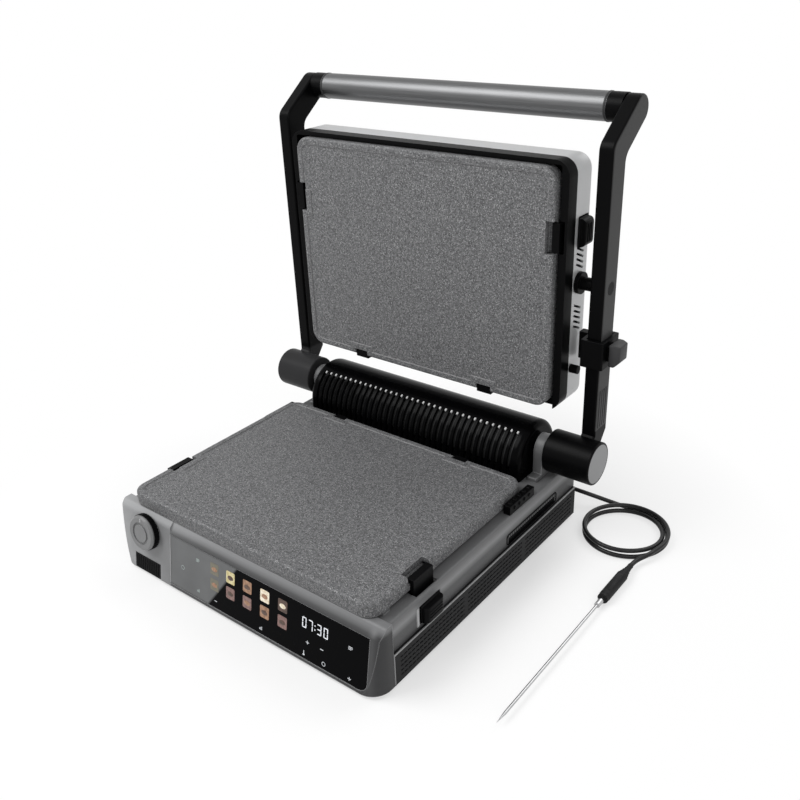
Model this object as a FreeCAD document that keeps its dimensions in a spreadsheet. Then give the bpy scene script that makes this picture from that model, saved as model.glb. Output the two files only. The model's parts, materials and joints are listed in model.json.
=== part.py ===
import FreeCAD, Part
import math
import os
import re

import Sketcher

# Smokeless contact grill, standing on a worktop with its lid open.
# X runs along the hinge, -Y is the control panel side, +Z is up, millimetres.
# The lid group is drawn closed and then swung open about the hinge axis.

# Driving dimensions, one name each.
SIZES = {
    # Base housing and its outer panels
    "base_half": 160.0,
    "front_reach": 175.0,
    "rear_reach": 152.0,
    "foot_rise": 3.0,
    "foot_radius": 9.0,
    "foot_inset": 27.0,
    "panel_thick": 3.0,
    "panel_top": 34.0,
    "louvre_high": 1.6,
    "louvre_pitch": 4.6,
    "louvre_margin": 5.0,
    "louvre_gap": 6.0,
    "fascia_deep": 23.0,
    "housing_wall": 2.5,
    "housing_corner": 10.0,
    "rim_top": 64.0,
    "rim_thick": 2.5,
    "rim_round": 2.0,
    "mouth_inset": 22.0,
    "mouth_front_inset": 35.0,
    "mouth_rear_inset": 8.0,
    "vent_length": 85.0,
    "vent_inset": 47.0,
    "vent_rise": 1.5,
    "vent_tall": 6.5,
    "cover_thick": 2.5,
    "cover_gap": 0.3,
    "boss_radius": 5.0,
    "boss_high": 14.0,
    "boss_inset": 16.0,
    "screw_radius": 1.6,
    "screw_head": 3.2,
    "screw_head_high": 1.4,
    "screw_length": 9.0,
    "guard_wide": 7.0,
    "guard_inset": 4.0,
    "guard_length": 42.0,
    "guard_past": 4.0,
    "guard_tall": 9.0,
    "guard_stud": 1.8,
    # Front fascia, touch glass, knob and drip tray
    "lean": 10.0,
    "fascia_wall": 3.0,
    "fascia_corner": 18.0,
    "fascia_round": 4.0,
    "apron_drop": 7.0,
    "apron_deep": 16.0,
    "fascia_proud": 2.0,
    "pod_width": 72.0,
    "bezel_width": 11.5,
    "glass_low": 3.5,
    "glass_drop": 4.0,
    "glass_thick": 2.0,
    "glass_inset": 0.4,
    "glass_ledge": 5.0,
    "glass_margin": 0.4,
    "glass_corner": 9.0,
    "board_thick": 1.6,
    "knob_inset": 41.0,
    "knob_drop": 11.0,
    "knob_radius": 17.0,
    "knob_high": 9.5,
    "knob_gap": 0.8,
    "knob_dish_radius": 11.0,
    "knob_dish_deep": 1.2,
    "knob_button_radius": 8.5,
    "knob_edge": 1.6,
    "shaft_radius": 3.0,
    "shaft_sink": 4.0,
    "shaft_fit": 0.05,
    "bush_radius": 5.0,
    "encoder_size": 13.0,
    "encoder_deep": 6.5,
    "tray_inset": 22.0,
    "tray_wide": 34.0,
    "tray_setback": 12.0,
    "tray_length": 151.0,
    "tray_top": 17.0,
    "tray_wall": 1.5,
    "tray_gap": 0.4,
    "pull_border": 1.2,
    "pull_proud": 1.6,
    "pull_groove": 1.0,
    "pull_groove_pitch": 2.8,
    "rail_thick": 2.0,
    "rail_high": 6.0,
    # Cooking plates
    "plate_inset": 13.0,
    "plate_front_inset": 15.0,
    "plate_hinge_gap": 47.0,
    "plate_proud": 16.0,
    "plate_skirt": 13.0,
    "plate_skin": 5.0,
    "plate_wall": 4.0,
    "plate_corner": 14.0,
    "plate_edge": 2.5,
    "plate_gap": 0.5,
    "plate_border": 6.5,
    "plate_well": 0.8,
    "plate_well_corner": 9.0,
    "seat_size": 8.0,
    "notch_deep": 8.0,
    "notch_width": 29.0,
    "lug_drop": 7.0,
    "hook_inset": 70.0,
    "hook_width": 16.0,
    "hook_step": 6.0,
    "hook_thick": 2.5,
    "hook_gap": 0.4,
    "hook_lip_tall": 4.8,
    "hook_lip_drop": 1.6,
    # Heaters, reflectors and sensors under each plate
    "reflector_inset": 11.0,
    "reflector_front_inset": 22.0,
    "reflector_rear_inset": 10.0,
    "reflector_drop": 14.0,
    "reflector_sheet": 1.0,
    "reflector_lip": 4.0,
    "heater_radius": 3.4,
    "heater_gap": 0.2,
    "heater_inset": 45.0,
    "heater_front_inset": 48.0,
    "heater_rear_inset": 36.0,
    "heater_tail": 20.0,
    "clip_half": 4.0,
    "clip_thick": 2.0,
    "sensor_radius": 6.0,
    "sensor_offset": 6.0,
    # Electronics, mains gland and probe socket
    "mainboard_left_inset": 100.0,
    "mainboard_right_inset": 80.0,
    "mainboard_front_inset": 85.0,
    "mainboard_length": 70.0,
    "standoff_radius": 3.5,
    "standoff_high": 4.0,
    "standoff_inset": 6.0,
    "relay_size": 19.0,
    "relay_high": 15.5,
    "relay_pitch": 26.0,
    "capacitor_radius": 8.0,
    "capacitor_high": 20.0,
    "transformer_size": 32.0,
    "transformer_high": 27.0,
    "part_inset": 8.0,
    "gland_inset": 50.0,
    "gland_z": 22.0,
    "gland_radius": 8.0,
    "gland_bore": 4.0,
    "gland_flange": 12.0,
    "gland_proud": 9.0,
    "jack_inset": 32.0,
    "jack_z": 15.0,
    "jack_radius": 6.0,
    "jack_bore": 1.8,
    "jack_flange": 8.0,
    "jack_deep": 14.0,
    "socket_lip": 1.5,
    # Plate release latches
    "latch_setback": 60.0,
    "latch_width": 26.0,
    "latch_gap": 0.5,
    "pivot_inset": 9.5,
    "pivot_drop": 7.0,
    "claw_bite": 2.5,
    "claw_gap": 0.4,
    "claw_tall": 4.1,
    "web_gap": 0.8,
    "web_thick": 3.5,
    "button_thick": 7.6,
    "button_sink": 1.4,
    "button_tall": 16.0,
    "button_drop": 10.0,
    "window_gap": 1.2,
    "latch_pin_radius": 1.5,
    "latch_pin_fit": 0.05,
    "ear_thick": 3.5,
    "ear_drop": 4.0,
    "button_round": 1.6,
    # Smoke extractor
    "extractor_inset": 26.0,
    "extractor_radius": 36.0,
    "extractor_drop": 12.0,
    "extractor_wall": 2.5,
    "extractor_gap": 0.3,
    "extractor_round": 6.0,
    "slot_count": 36,
    "slot_wide": 4.0,
    "slot_margin": 8.0,
    "slot_low": 8.0,
    "slot_high": 17.0,
    "frame_inset": 10.0,
    "frame_thick": 3.0,
    "filter_thick": 3.0,
    "filter_gap": 1.0,
    "filter_margin": 6.0,
    "fan_behind": 6.0,
    "fan_above": 9.0,
    "fan_radius": 16.0,
    "fan_left_inset": 22.0,
    "fan_right_inset": 28.0,
    "fan_disc": 2.0,
    "fan_blade": 1.2,
    "fan_blade_deep": 6.0,
    "fan_blades": 24,
    "fan_shaft": 2.5,
    "fan_bearing": 6.0,
    "motor_radius": 13.0,
    "motor_gap": 1.0,
    "motor_sink": 9.0,
    "outlet_count": 30,
    "outlet_wide": 4.0,
    "outlet_margin": 14.0,
    "outlet_drop": 10.5,
    "outlet_tall": 8.0,
    # Hinge
    "hinge_inset": 43.0,
    "hinge_rise": 26.0,
    "open_angle": 90.0,
    "hub_radius": 21.0,
    "hub_edge": 1.2,
    "hub_gap": 3.0,
    "hub_length": 48.0,
    "pin_radius": 8.0,
    "pin_fit": 0.05,
    "pin_setback": 12.0,
    "post_gap": 3.5,
    "post_thick": 9.5,
    "post_radius": 14.0,
    "post_foot": 24.0,
    "post_flange": 4.0,
    "washer_radius": 12.0,
    "washer_gap": 0.4,
    "cap_radius": 19.0,
    "cap_thick": 3.0,
    # Arms and grip
    "arm_thick": 14.0,
    "arm_setback": 10.0,
    "arm_offset": 22.0,
    "arm_half": 12.0,
    "bend_setback": 4.0,
    "arm_root": 20.0,
    "arm_bend": 12.0,
    "arm_edge": 2.0,
    "handle_length": 46.0,
    "handle_angle": 53.0,
    "grip_radius": 12.5,
    "grip_shoulder": 14.0,
    "grip_wall": 1.6,
    "grip_spigot": 14.0,
    # Lid
    "lid_past": 5.0,
    "lid_clear": 44.0,
    "lid_tall": 51.0,
    "lid_wall": 2.5,
    "lid_corner": 14.0,
    "lid_round": 8.0,
    "carrier_gap": 6.0,
    "carrier_ring": 7.0,
    "carrier_flange": 4.0,
    "stud_offset": 4.0,
    "stud_radius": 6.0,
    "stud_fit": 0.05,
    "stud_collar": 10.0,
    "stud_collar_thick": 4.0,
    "lid_slot_count": 5,
    "lid_slot_pitch": 5.0,
    "lid_slot_wide": 2.0,
    "lid_slot_long": 14.0,
    "lid_slot_slant": 25.0,
    "lid_slot_offset": 29.0,
    "lid_slot_drop": 18.0,
    "stop_step": 22.0,
    "stop_drop": 7.0,
    "stop_radius": 4.0,
    "stop_long": 8.0,
    # Height lock on the right arm
    "lock_step": 59.0,
    "lock_half": 13.0,
    "lock_wall": 3.6,
    "lock_gap": 0.4,
    "lock_round": 1.5,
    "lock_tab_proud": 11.0,
    "lock_tab_half": 7.0,
    "lock_tab_thick": 12.0,
    "lock_finger_gap": 3.5,
    "lock_finger_thick": 8.0,
    # Meat probe, its lead and its plug
    "lead_diameter": 4.4,
    "lead_step": 18.0,
    "tail_step": 9.0,
    "plug_body": 15.0,
    "plug_high": 11.0,
    "plug_deep": 19.0,
    "plug_pin_deep": 11.0,
    "plug_relief": 9.0,
    "plug_relief_radius": 3.6,
    "coil_aside": 56.0,
    "coil_setback": 11.0,
    "coil_radius": 42.0,
    "coil_pitch": 5.2,
    "coil_lift": 5.1,
    "coil_entry_angle": 104.0,
    "coil_exit_angle": 24.0,
    "coil_turns": 2,
    "probe_aside": 85.5,
    "probe_setback": 60.0,
    "probe_length": 60.0,
    "probe_radius": 5.2,
    "probe_taper": 10.0,
    "ferrule_radius": 2.6,
    "ferrule_length": 8.0,
    "needle_radius": 1.3,
    "needle_length": 163.0,
    "needle_point": 12.0,
    # One overrun for every cut
    "overrun": 1.0,
}

# Sizes that follow from the driving ones.
DERIVED = {
    "housing_front": "front_reach - fascia_deep",
    "mouth_half": "base_half - mouth_inset",
    "mouth_front": "front_reach - mouth_front_inset",
    "mouth_rear": "plate_rear - mouth_rear_inset",
    "vent_front": "vent_rear - vent_length",
    "vent_rear": "rear_reach - vent_inset",
    "vent_low": "panel_top + vent_rise",
    "vent_high": "vent_low + vent_tall",
    "guard_in": "guard_out - guard_wide",
    "guard_out": "base_half - guard_inset",
    "guard_front": "guard_rear - guard_length",
    "guard_rear": "plate_rear + guard_past",
    "guard_top": "rim_top + guard_tall",
    "apron_low": "rim_top - apron_drop",
    "apron_back": "front_reach - apron_deep",
    "fascia_top": "rim_top + fascia_proud",
    "glass_high": "apron_low - glass_drop",
    "knob_x": "base_half - knob_inset",
    "knob_rise": "apron_low - knob_drop",
    "tray_left": "base_half - tray_inset",
    "tray_right": "tray_left - tray_wide",
    "tray_front": "front_reach - tray_setback",
    "tray_back": "tray_front - tray_length",
    "pull_top": "tray_top + pull_proud",
    "plate_half": "base_half - plate_inset",
    "plate_front": "front_reach - plate_front_inset",
    "plate_rear": "hinge_y - plate_hinge_gap",
    "plate_top": "rim_top + plate_proud",
    "lug_top": "plate_top - lug_drop",
    "hook_x": "plate_half - hook_inset",
    "hook_lip_low": "hook_lip_high - hook_lip_tall",
    "hook_lip_high": "plate_top - hook_lip_drop",
    "reflector_half": "plate_half - reflector_inset",
    "reflector_front": "plate_front - reflector_front_inset",
    "reflector_rear": "plate_rear - reflector_rear_inset",
    "reflector_floor": "rim_top - reflector_drop",
    "heater_leg": "2 * (plate_half - heater_inset) / 3",
    "heater_front": "plate_front - heater_front_inset",
    "heater_rear": "plate_rear - heater_rear_inset",
    "sensor_y": "(plate_front - plate_rear) / 2 - sensor_offset",
    "mainboard_left": "base_half - mainboard_left_inset",
    "mainboard_right": "base_half - mainboard_right_inset",
    "mainboard_front": "front_reach - mainboard_front_inset",
    "mainboard_rear": "mainboard_front - mainboard_length",
    "gland_x": "base_half - gland_inset",
    "jack_x": "base_half - jack_inset",
    "latch_y": "plate_front - latch_setback",
    "pivot_x": "base_half - pivot_inset",
    "pivot_z": "rim_top - pivot_drop",
    "claw_tip": "plate_half - claw_bite",
    "claw_low": "lug_top + claw_gap",
    "claw_high": "claw_low + claw_tall",
    "web_in": "plate_half + web_gap",
    "web_out": "web_in + web_thick",
    "button_in": "button_out - button_thick",
    "button_out": "base_half - button_sink",
    "button_low": "button_high - button_tall",
    "button_high": "rim_top - button_drop",
    "extractor_half": "base_half - extractor_inset",
    "extractor_z": "hinge_z - extractor_drop",
    "extractor_top": "extractor_z + extractor_radius",
    "extractor_rear": "hinge_y + extractor_radius",
    "slot_pitch": "2 * (extractor_half - slot_margin) / slot_count",
    "frame_x": "extractor_half - frame_inset",
    "fan_y": "hinge_y + fan_behind",
    "fan_z": "extractor_z + fan_above",
    "fan_left": "extractor_half - fan_left_inset",
    "fan_right": "extractor_half - fan_right_inset",
    "outlet_pitch": "2 * (extractor_half - outlet_margin) / outlet_count",
    "outlet_low": "extractor_z - outlet_drop",
    "outlet_high": "outlet_low + outlet_tall",
    "hinge_y": "rear_reach - hinge_inset",
    "hinge_z": "rim_top + hinge_rise",
    "hub_in": "post_out + hub_gap",
    "hub_out": "hub_in + hub_length",
    "pin_end": "hub_out - pin_setback",
    "post_in": "extractor_half + post_gap",
    "post_out": "post_in + post_thick",
    "arm_in": "arm_out - arm_thick",
    "arm_out": "hub_out - arm_setback",
    "arm_length": "hinge_y + front_reach - bend_setback",
    "grip_half": "arm_in - grip_shoulder",
    "lid_front": "plate_front + lid_past",
    "lid_top": "plate_top + lid_tall",
    "carrier_foot": "plate_top + carrier_gap",
    "stud_reach": "hinge_y - (lid_rear - lid_front) / 2 + stud_offset",
    "lid_slot_z": "lid_top - lid_slot_drop",
    "lock_reach": "stud_reach - lock_step",
    "stop_reach": "lock_reach - stop_step",
    "lock_tab_out": "arm_out + lock_tab_proud",
    "coil_x": "base_half + coil_aside",
    "coil_y": "rear_reach - coil_setback",
    "probe_x": "base_half + probe_aside",
    "probe_rear": "rear_reach - probe_setback",
    "housing_half": "base_half - panel_thick",
    "glass_left": "-base_half + pod_width + glass_margin",
    "glass_right": "base_half - bezel_width - glass_margin",
    "contact_z": "plate_top + plate_gap / 2",
    "skirt_foot": "plate_top - plate_skirt",
    "skin_under": "plate_top - plate_skin",
    "heater_z": "skin_under - heater_gap - heater_radius",
    "cover_top": "foot_rise + cover_thick",
    "carrier_low": "2 * contact_z - rim_top",
    "carrier_high": "carrier_low + carrier_flange",
    "lid_rear": "hinge_y - lid_clear",
    "arm_z": "hinge_z + arm_offset",
    "bend_y": "hinge_y - arm_length",
    "grip_y": "bend_y - handle_length * cos(handle_angle)",
    "grip_z": "arm_z + handle_length * sin(handle_angle)",
    "stud_y": "hinge_y - stud_reach",
    "lock_y": "hinge_y - lock_reach",
    "mainboard_z": "cover_top + standoff_high",
    "plug_y": "rear_reach + socket_lip + plug_deep - plug_body / 2",
    "relief_end": "jack_x + plug_body / 2 + plug_relief",
}

doc = FreeCAD.newDocument("smokeless_grill")
sheet = doc.addObject("Spreadsheet::Sheet", "sizes")
for row, (alias, number) in enumerate(SIZES.items(), start=1):
    sheet.set(f"A{row}", alias)
    sheet.set(f"B{row}", str(number))
    sheet.setAlias(f"B{row}", alias)
for row, (alias, formula) in enumerate(DERIVED.items(), start=len(SIZES) + 1):
    sheet.set(f"A{row}", alias)
    sheet.set(f"B{row}", f"={formula}")
    sheet.setAlias(f"B{row}", alias)
doc.recompute()

ALIASES = set(SIZES) | set(DERIVED)
SUB_PARTS = {}


def size(alias):
    """Return a size from the sheet as a plain number."""
    return float(sheet.get(alias))


def link(text):
    """Turn a formula in plain size names into one that reads the sheet."""
    def named(word):
        return f"sizes.{word[0]}" if word[0] in ALIASES else word[0]

    return re.sub(r"[a-z_][a-z0-9_]*", named, text)


def sub_part(node, solid):
    """Give a finished object its node name."""
    solid.Label = node
    SUB_PARTS[node] = solid
    return solid


def new(kind):
    """Add an object of the given kind to the document."""
    return doc.addObject(kind, kind.split("::")[1].lower())


def box(x, y, z):
    """A block between two formulas along each axis."""
    block = new("Part::Box")
    for axis, side, (low, high) in zip("xyz", ("Length", "Width", "Height"), (x, y, z)):
        block.setExpression(f"Placement.Base.{axis}", link(low))
        block.setExpression(side, link(f"({high}) - ({low})"))
    return block


TURNS = {
    "x": FreeCAD.Rotation(FreeCAD.Vector(0, 1, 0), 90),
    "y": FreeCAD.Rotation(FreeCAD.Vector(1, 0, 0), -90),
    "z": FreeCAD.Rotation(),
}


def rod(axis, radius, span, across):
    """A round bar along an axis, between two formulas, at its place across it."""
    bar = new("Part::Cylinder")
    bar.Placement = FreeCAD.Placement(FreeCAD.Vector(), TURNS[axis])
    bar.setExpression("Radius", link(radius))
    bar.setExpression("Height", link(f"({span[1]}) - ({span[0]})"))
    places = dict(zip([name for name in "xyz" if name != axis], across))
    places[axis] = span[0]
    for name, text in places.items():
        bar.setExpression(f"Placement.Base.{name}", link(text))
    return bar


def fuse(*solids):
    """Join solids into one."""
    joined = new("Part::MultiFuse")
    joined.Shapes = list(solids)
    joined.Refine = True
    return joined


def group(*solids):
    """Keep separate solids together in one object."""
    together = new("Part::Compound")
    together.Links = list(solids)
    return together


def cut(base, *tools):
    """Take tools away from a solid."""
    result = new("Part::Cut")
    result.Base = base
    result.Tool = tools[0] if len(tools) == 1 else group(*tools)
    result.Refine = True
    return result


def common(first, second):
    """Keep what two solids share."""
    shared = new("Part::Common")
    shared.Base = first
    shared.Tool = second
    return shared


def mirror_x(solid):
    """Copy a right-hand solid to the left-hand side."""
    copy = new("Part::Mirroring")
    copy.Source = solid
    copy.Normal = (1, 0, 0)
    return copy


def both_sides(solid):
    """A right-hand solid and its left-hand copy, as separate solids."""
    return group(solid, mirror_x(solid))


def upside_down(solid):
    """Copy a base piece to the lid, mirrored in the plane where the plates meet."""
    copy = new("Part::Mirroring")
    copy.Source = solid
    copy.Normal = (0, 0, 1)
    copy.setExpression("Base.z", link("contact_z"))
    return copy


PLANES = {"YZ": "YZ_Plane", "XZ": "XZ_Plane", "XY": "XY_Plane"}


def sketch_on(body, plane, offset):
    """Start a sketch on one of the body's own planes, moved along its normal."""
    sketch = body.newObject("Sketcher::SketchObject", "outline")
    support = [item for item in body.Origin.OriginFeatures if item.Role == PLANES[plane]][0]
    sketch.AttachmentSupport = [(support, "")]
    sketch.MapMode = "FlatFace"
    sketch.setExpression("AttachmentOffset.Base.z", link(offset))
    return sketch


def draw_outline(sketch, points):
    """Draw a closed outline whose corners are bound to formulas."""
    count = len(points)
    starts = []
    for index in range(count):
        turn = math.tau * index / count
        starts.append(FreeCAD.Vector(math.cos(turn), math.sin(turn), 0))
    for index in range(count):
        sketch.addGeometry(Part.LineSegment(starts[index], starts[(index + 1) % count]), False)
    for index in range(count):
        sketch.addConstraint(Sketcher.Constraint("Coincident", index, 2, (index + 1) % count, 1))
    for index, corner in enumerate(points):
        for kind, text, start in zip(("DistanceX", "DistanceY"), corner, starts[index]):
            place = sketch.addConstraint(Sketcher.Constraint(kind, -1, 1, index, 1, start))
            sketch.setExpression(f"Constraints[{place}]", link(text))


def prism(plane, points, span):
    """A body padded from an outline on a plane, between two formulas along its normal."""
    body = new("PartDesign::Body")
    offset = span[0] if plane != "XZ" else f"-({span[1]})"
    sketch = sketch_on(body, plane, offset)
    draw_outline(sketch, points)
    pad = body.newObject("PartDesign::Pad", "pad")
    pad.Profile = sketch
    pad.setExpression("Length", link(f"({span[1]}) - ({span[0]})"))
    return body


def turned(points):
    """A body of revolution about the Y axis, from (radius, y) corners on the XY plane."""
    body = new("PartDesign::Body")
    sketch = sketch_on(body, "XY", "0")
    draw_outline(sketch, points)
    spin = body.newObject("PartDesign::Revolution", "revolution")
    spin.Profile = sketch
    spin.ReferenceAxis = (sketch, ["V_Axis"])
    spin.Angle = 360
    return body


def parallel(edge, axis):
    """Tell whether an edge is straight and runs along an axis."""
    if edge.Curve.TypeId != "Part::GeomLine":
        return False
    return abs(getattr(edge.Curve.Direction, axis)) > math.cos(math.radians(1))


def rounded(base, alias, pick):
    """Round the edges of an object that a test picks, to a named radius."""
    doc.recompute()
    result = new("Part::Fillet")
    result.Base = base
    radius = size(alias)
    picked = [number for number, edge in enumerate(base.Shape.Edges, start=1) if pick(edge)]
    result.Edges = [(number, radius, radius) for number in picked]
    return result


def across_x(edge):
    """Whether an edge lies in a plane square to the X direction."""
    return edge.BoundBox.XLength < size("pin_fit")


def swung(solid, angle):
    """Put a solid in a group of its own that turns about the X direction by a formula."""
    placed = group(solid)
    placed.Placement = FreeCAD.Placement(FreeCAD.Vector(), FreeCAD.Rotation(FreeCAD.Vector(1, 0, 0), -1))
    placed.setExpression("Placement.Rotation.Angle", link(angle))
    return placed


def on_lean(solid):
    """Stand a panel piece on the leaning fascia: z up the slope, y into the base."""
    placed = swung(solid, "-lean")
    placed.setExpression("Placement.Base.y", link("-front_reach"))
    placed.setExpression("Placement.Base.z", link("foot_rise"))
    return placed


def opened(solid):
    """Swing a closed lid piece open about the hinge axis."""
    placed = swung(solid, "-open_angle")
    swung_y = "hinge_y - hinge_y * cos(open_angle) - hinge_z * sin(open_angle)"
    swung_z = "hinge_z + hinge_y * sin(open_angle) - hinge_z * cos(open_angle)"
    placed.setExpression("Placement.Base.y", link(swung_y))
    placed.setExpression("Placement.Base.z", link(swung_z))
    return placed


def coded(shape):
    """An object whose shape is worked out in code from the sheet's sizes."""
    feature = new("Part::Feature")
    feature.Shape = shape
    feature.Placement = FreeCAD.Placement()
    return feature


def span_pair(alias):
    """A span that lies evenly about zero."""
    return (f"-{alias}", alias)


def latch_openings():
    """What the right-hand latch needs cut away: button window and claw slot."""
    width = ("-latch_y - latch_width / 2 - window_gap", "-latch_y + latch_width / 2 + window_gap")
    window = box(
        ("housing_half - housing_wall - overrun", "housing_half + overrun"),
        width,
        ("button_low - window_gap", "button_high + window_gap"),
    )
    slot = box(
        ("claw_tip - window_gap", "housing_half - housing_wall"),
        width,
        ("rim_top - rim_thick - carrier_flange - overrun", "rim_top + overrun"),
    )
    return [window, slot]


def latch_ears():
    """Two ears under the rim that carry the right-hand latch pin."""
    ears = []
    near = "(latch_width / 2 + latch_gap)"
    for low, high in ((f"{near}", f"{near} + ear_thick"), (f"-{near} - ear_thick", f"-{near}")):
        ears.append(box(
            ("pivot_x - ear_drop", "housing_half - housing_wall"),
            (f"-latch_y + {low}", f"-latch_y + {high}"),
            ("pivot_z - ear_drop", "rim_top - rim_thick"),
        ))
    return ears


def latch_pin(extra):
    """The right-hand latch pin, or its bore with some extra radius."""
    reach = "latch_width / 2 + latch_gap + ear_thick"
    span = (f"-latch_y - ({reach})", f"-latch_y + {reach}")
    return rod("y", f"latch_pin_radius + {extra}", span, ("pivot_x", "pivot_z"))


def seat_span(side):
    """Where a plate seat lies along X on one side, between the reflector's lip and the plate's outline."""
    near = "mouth_half + reflector_lip + plate_gap"
    far = "plate_half - plate_gap"
    if side > 0:
        return near, far
    return f"-({far})", f"-({near})"


def make_housing():
    """Upper housing: walls, rim, rear deck and the ears for the latches."""
    block = rounded(
        box(span_pair("housing_half"), ("-housing_front", "rear_reach"), ("foot_rise", "rim_top")),
        "housing_corner",
        lambda edge: parallel(edge, "z") and edge.CenterOfMass.y > 0,
    )
    near_top = size("rim_top") - size("rim_round") / 2
    front = size("rim_round") - size("housing_front")
    outer = rounded(
        block,
        "rim_round",
        lambda edge: edge.BoundBox.ZMin > near_top and edge.CenterOfMass.y > front,
    )
    inside = "housing_half - housing_wall"
    cavity = box(
        (f"-({inside})", inside),
        ("-housing_front + housing_wall", "rear_reach - housing_wall"),
        ("foot_rise - overrun", "rim_top - rim_thick"),
    )
    mouth = box(
        span_pair("mouth_half"),
        ("-mouth_front", "mouth_rear"),
        ("rim_top - rim_thick - overrun", "rim_top + overrun"),
    )
    vent = box(
        ("housing_half - housing_wall - overrun", "housing_half + overrun"),
        ("vent_front", "vent_rear"),
        ("vent_low", "vent_high"),
    )
    drawer = box(
        ("-tray_left - tray_gap - rail_thick", "-tray_right + tray_gap + rail_thick"),
        ("-housing_front - overrun", "-housing_front + housing_wall + overrun"),
        ("foot_rise - overrun", "tray_top + rail_thick"),
    )
    through = ("rear_reach - housing_wall - overrun", "rear_reach + overrun")
    gland = rod("y", "gland_radius", through, ("-gland_x", "gland_z"))
    jack = rod("y", "jack_radius", through, ("jack_x", "jack_z"))
    cuts = [cavity, mouth, drawer, gland, jack]
    for tool in latch_openings() + [vent]:
        cuts += [tool, mirror_x(tool)]
    shell = cut(outer, *cuts)
    additions = []
    for ear in latch_ears():
        additions += [ear, mirror_x(ear)]
    for side in (-1, 1):
        for y in ("-plate_front + plate_corner", "plate_rear - plate_corner - seat_size"):
            additions.append(box(
                seat_span(side),
                (y, f"{y} + seat_size"),
                ("rim_top - rim_thick", "skirt_foot"),
            ))
    tall = ("cover_top", "cover_top + boss_high")
    for x, y in BOSS_PLACES:
        to_wall = (y, "rear_reach - housing_wall / 2")
        if y == BOSS_Y[0]:
            to_wall = ("-housing_front + housing_wall / 2", y)
        additions.append(rod("z", "boss_radius", tall, (x, y)))
        additions.append(box((f"{x} - rail_thick / 2", f"{x} + rail_thick / 2"), to_wall, tall))
    bores = [latch_pin("0"), mirror_x(latch_pin("0"))]
    for x, y in BOSS_PLACES:
        bores.append(rod("z", "screw_radius", ("foot_rise", "foot_rise + screw_length"), (x, y)))
    return cut(fuse(shell, *additions), *bores)


BOSS_X = ("-housing_half + boss_inset", "housing_half - boss_inset")
BOSS_Y = ("-housing_front + boss_inset", "rear_reach - boss_inset")
BOSS_PLACES = [(x, y) for x in ("0", BOSS_X[1]) for y in BOSS_Y] + [(BOSS_X[0], BOSS_Y[1])]


def make_bottom_cover():
    """Bottom cover with the drip tray's rails and the board's standoffs."""
    inside = "housing_half - housing_wall - cover_gap"
    plate = box(
        (f"-({inside})", inside),
        ("-housing_front + housing_wall + cover_gap", "rear_reach - housing_wall - cover_gap"),
        ("foot_rise", "cover_top"),
    )
    rails = []
    for low in ("-tray_left - tray_gap - rail_thick", "-tray_right + tray_gap"):
        rails.append(box(
            (low, f"{low} + rail_thick"),
            ("-housing_front + housing_wall + cover_gap", "-tray_back"),
            ("cover_top", "cover_top + rail_high"),
        ))
    standoffs = []
    for x in ("-mainboard_left + standoff_inset", "mainboard_right - standoff_inset"):
        for y in ("-mainboard_front + standoff_inset", "mainboard_rear - standoff_inset"):
            standoffs.append(rod("z", "standoff_radius", ("cover_top", "mainboard_z"), (x, y)))
    holes = []
    for x, y in BOSS_PLACES:
        holes.append(rod("z", "screw_radius", ("foot_rise - overrun", "cover_top + overrun"), (x, y)))
    return cut(fuse(plate, *rails, *standoffs), *holes)


def make_feet():
    """Four rubber feet under the bottom cover."""
    feet = []
    for x in ("-housing_half + foot_inset", "housing_half - foot_inset"):
        for y in ("-housing_front + foot_inset", "rear_reach - foot_inset"):
            feet.append(rod("z", "foot_radius", ("0", "foot_rise"), (x, y)))
    return group(*feet)


def make_base_screws():
    """Screws that hold the bottom cover to the housing's bosses."""
    screws = []
    for x, y in BOSS_PLACES:
        head = rod("z", "screw_head", ("foot_rise - screw_head_high", "foot_rise"), (x, y))
        tall = ("foot_rise - screw_head_high", "foot_rise + screw_length")
        shank = rod("z", "screw_radius", tall, (x, y))
        screws.append(fuse(head, shank))
    return group(*screws)


LOUVRE_ROWS = 5
LOUVRE_COLUMNS = 3


def make_side_panel():
    """Right-hand outer panel with rows of fine louvres."""
    panel = box(
        ("housing_half", "base_half"),
        ("-housing_front", "rear_reach - housing_corner"),
        ("foot_rise", "panel_top"),
    )
    long = "(rear_reach - housing_corner + housing_front - 2 * louvre_margin)"
    cell = f"{long} / {LOUVRE_COLUMNS}"
    tools = []
    for row in range(LOUVRE_ROWS):
        low = f"foot_rise + louvre_margin + {row} * louvre_pitch"
        for column in range(LOUVRE_COLUMNS):
            start = f"-housing_front + louvre_margin + {column} * {cell}"
            tools.append(box(
                ("housing_half - overrun", "base_half + overrun"),
                (f"{start} + louvre_gap / 2", f"{start} + {cell} - louvre_gap / 2"),
                (low, f"{low} + louvre_high"),
            ))
    return cut(panel, *tools)


GUARD_STUDS = 4


def make_rim_guards():
    """Low black guards on the rim beside the rear corners of the plate, each with a row of studs."""
    block = box(("guard_in", "guard_out"), ("guard_front", "guard_rear"), ("rim_top", "guard_top"))
    studs = []
    for index in range(GUARD_STUDS):
        y = f"guard_front + (guard_rear - guard_front) * {index + 1} / {GUARD_STUDS + 1}"
        proud = ("guard_out - overrun", "guard_out + guard_stud / 2")
        studs.append(rod("x", "guard_stud", proud, (y, "(rim_top + guard_top) / 2")))
    return both_sides(fuse(block, *studs))


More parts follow.
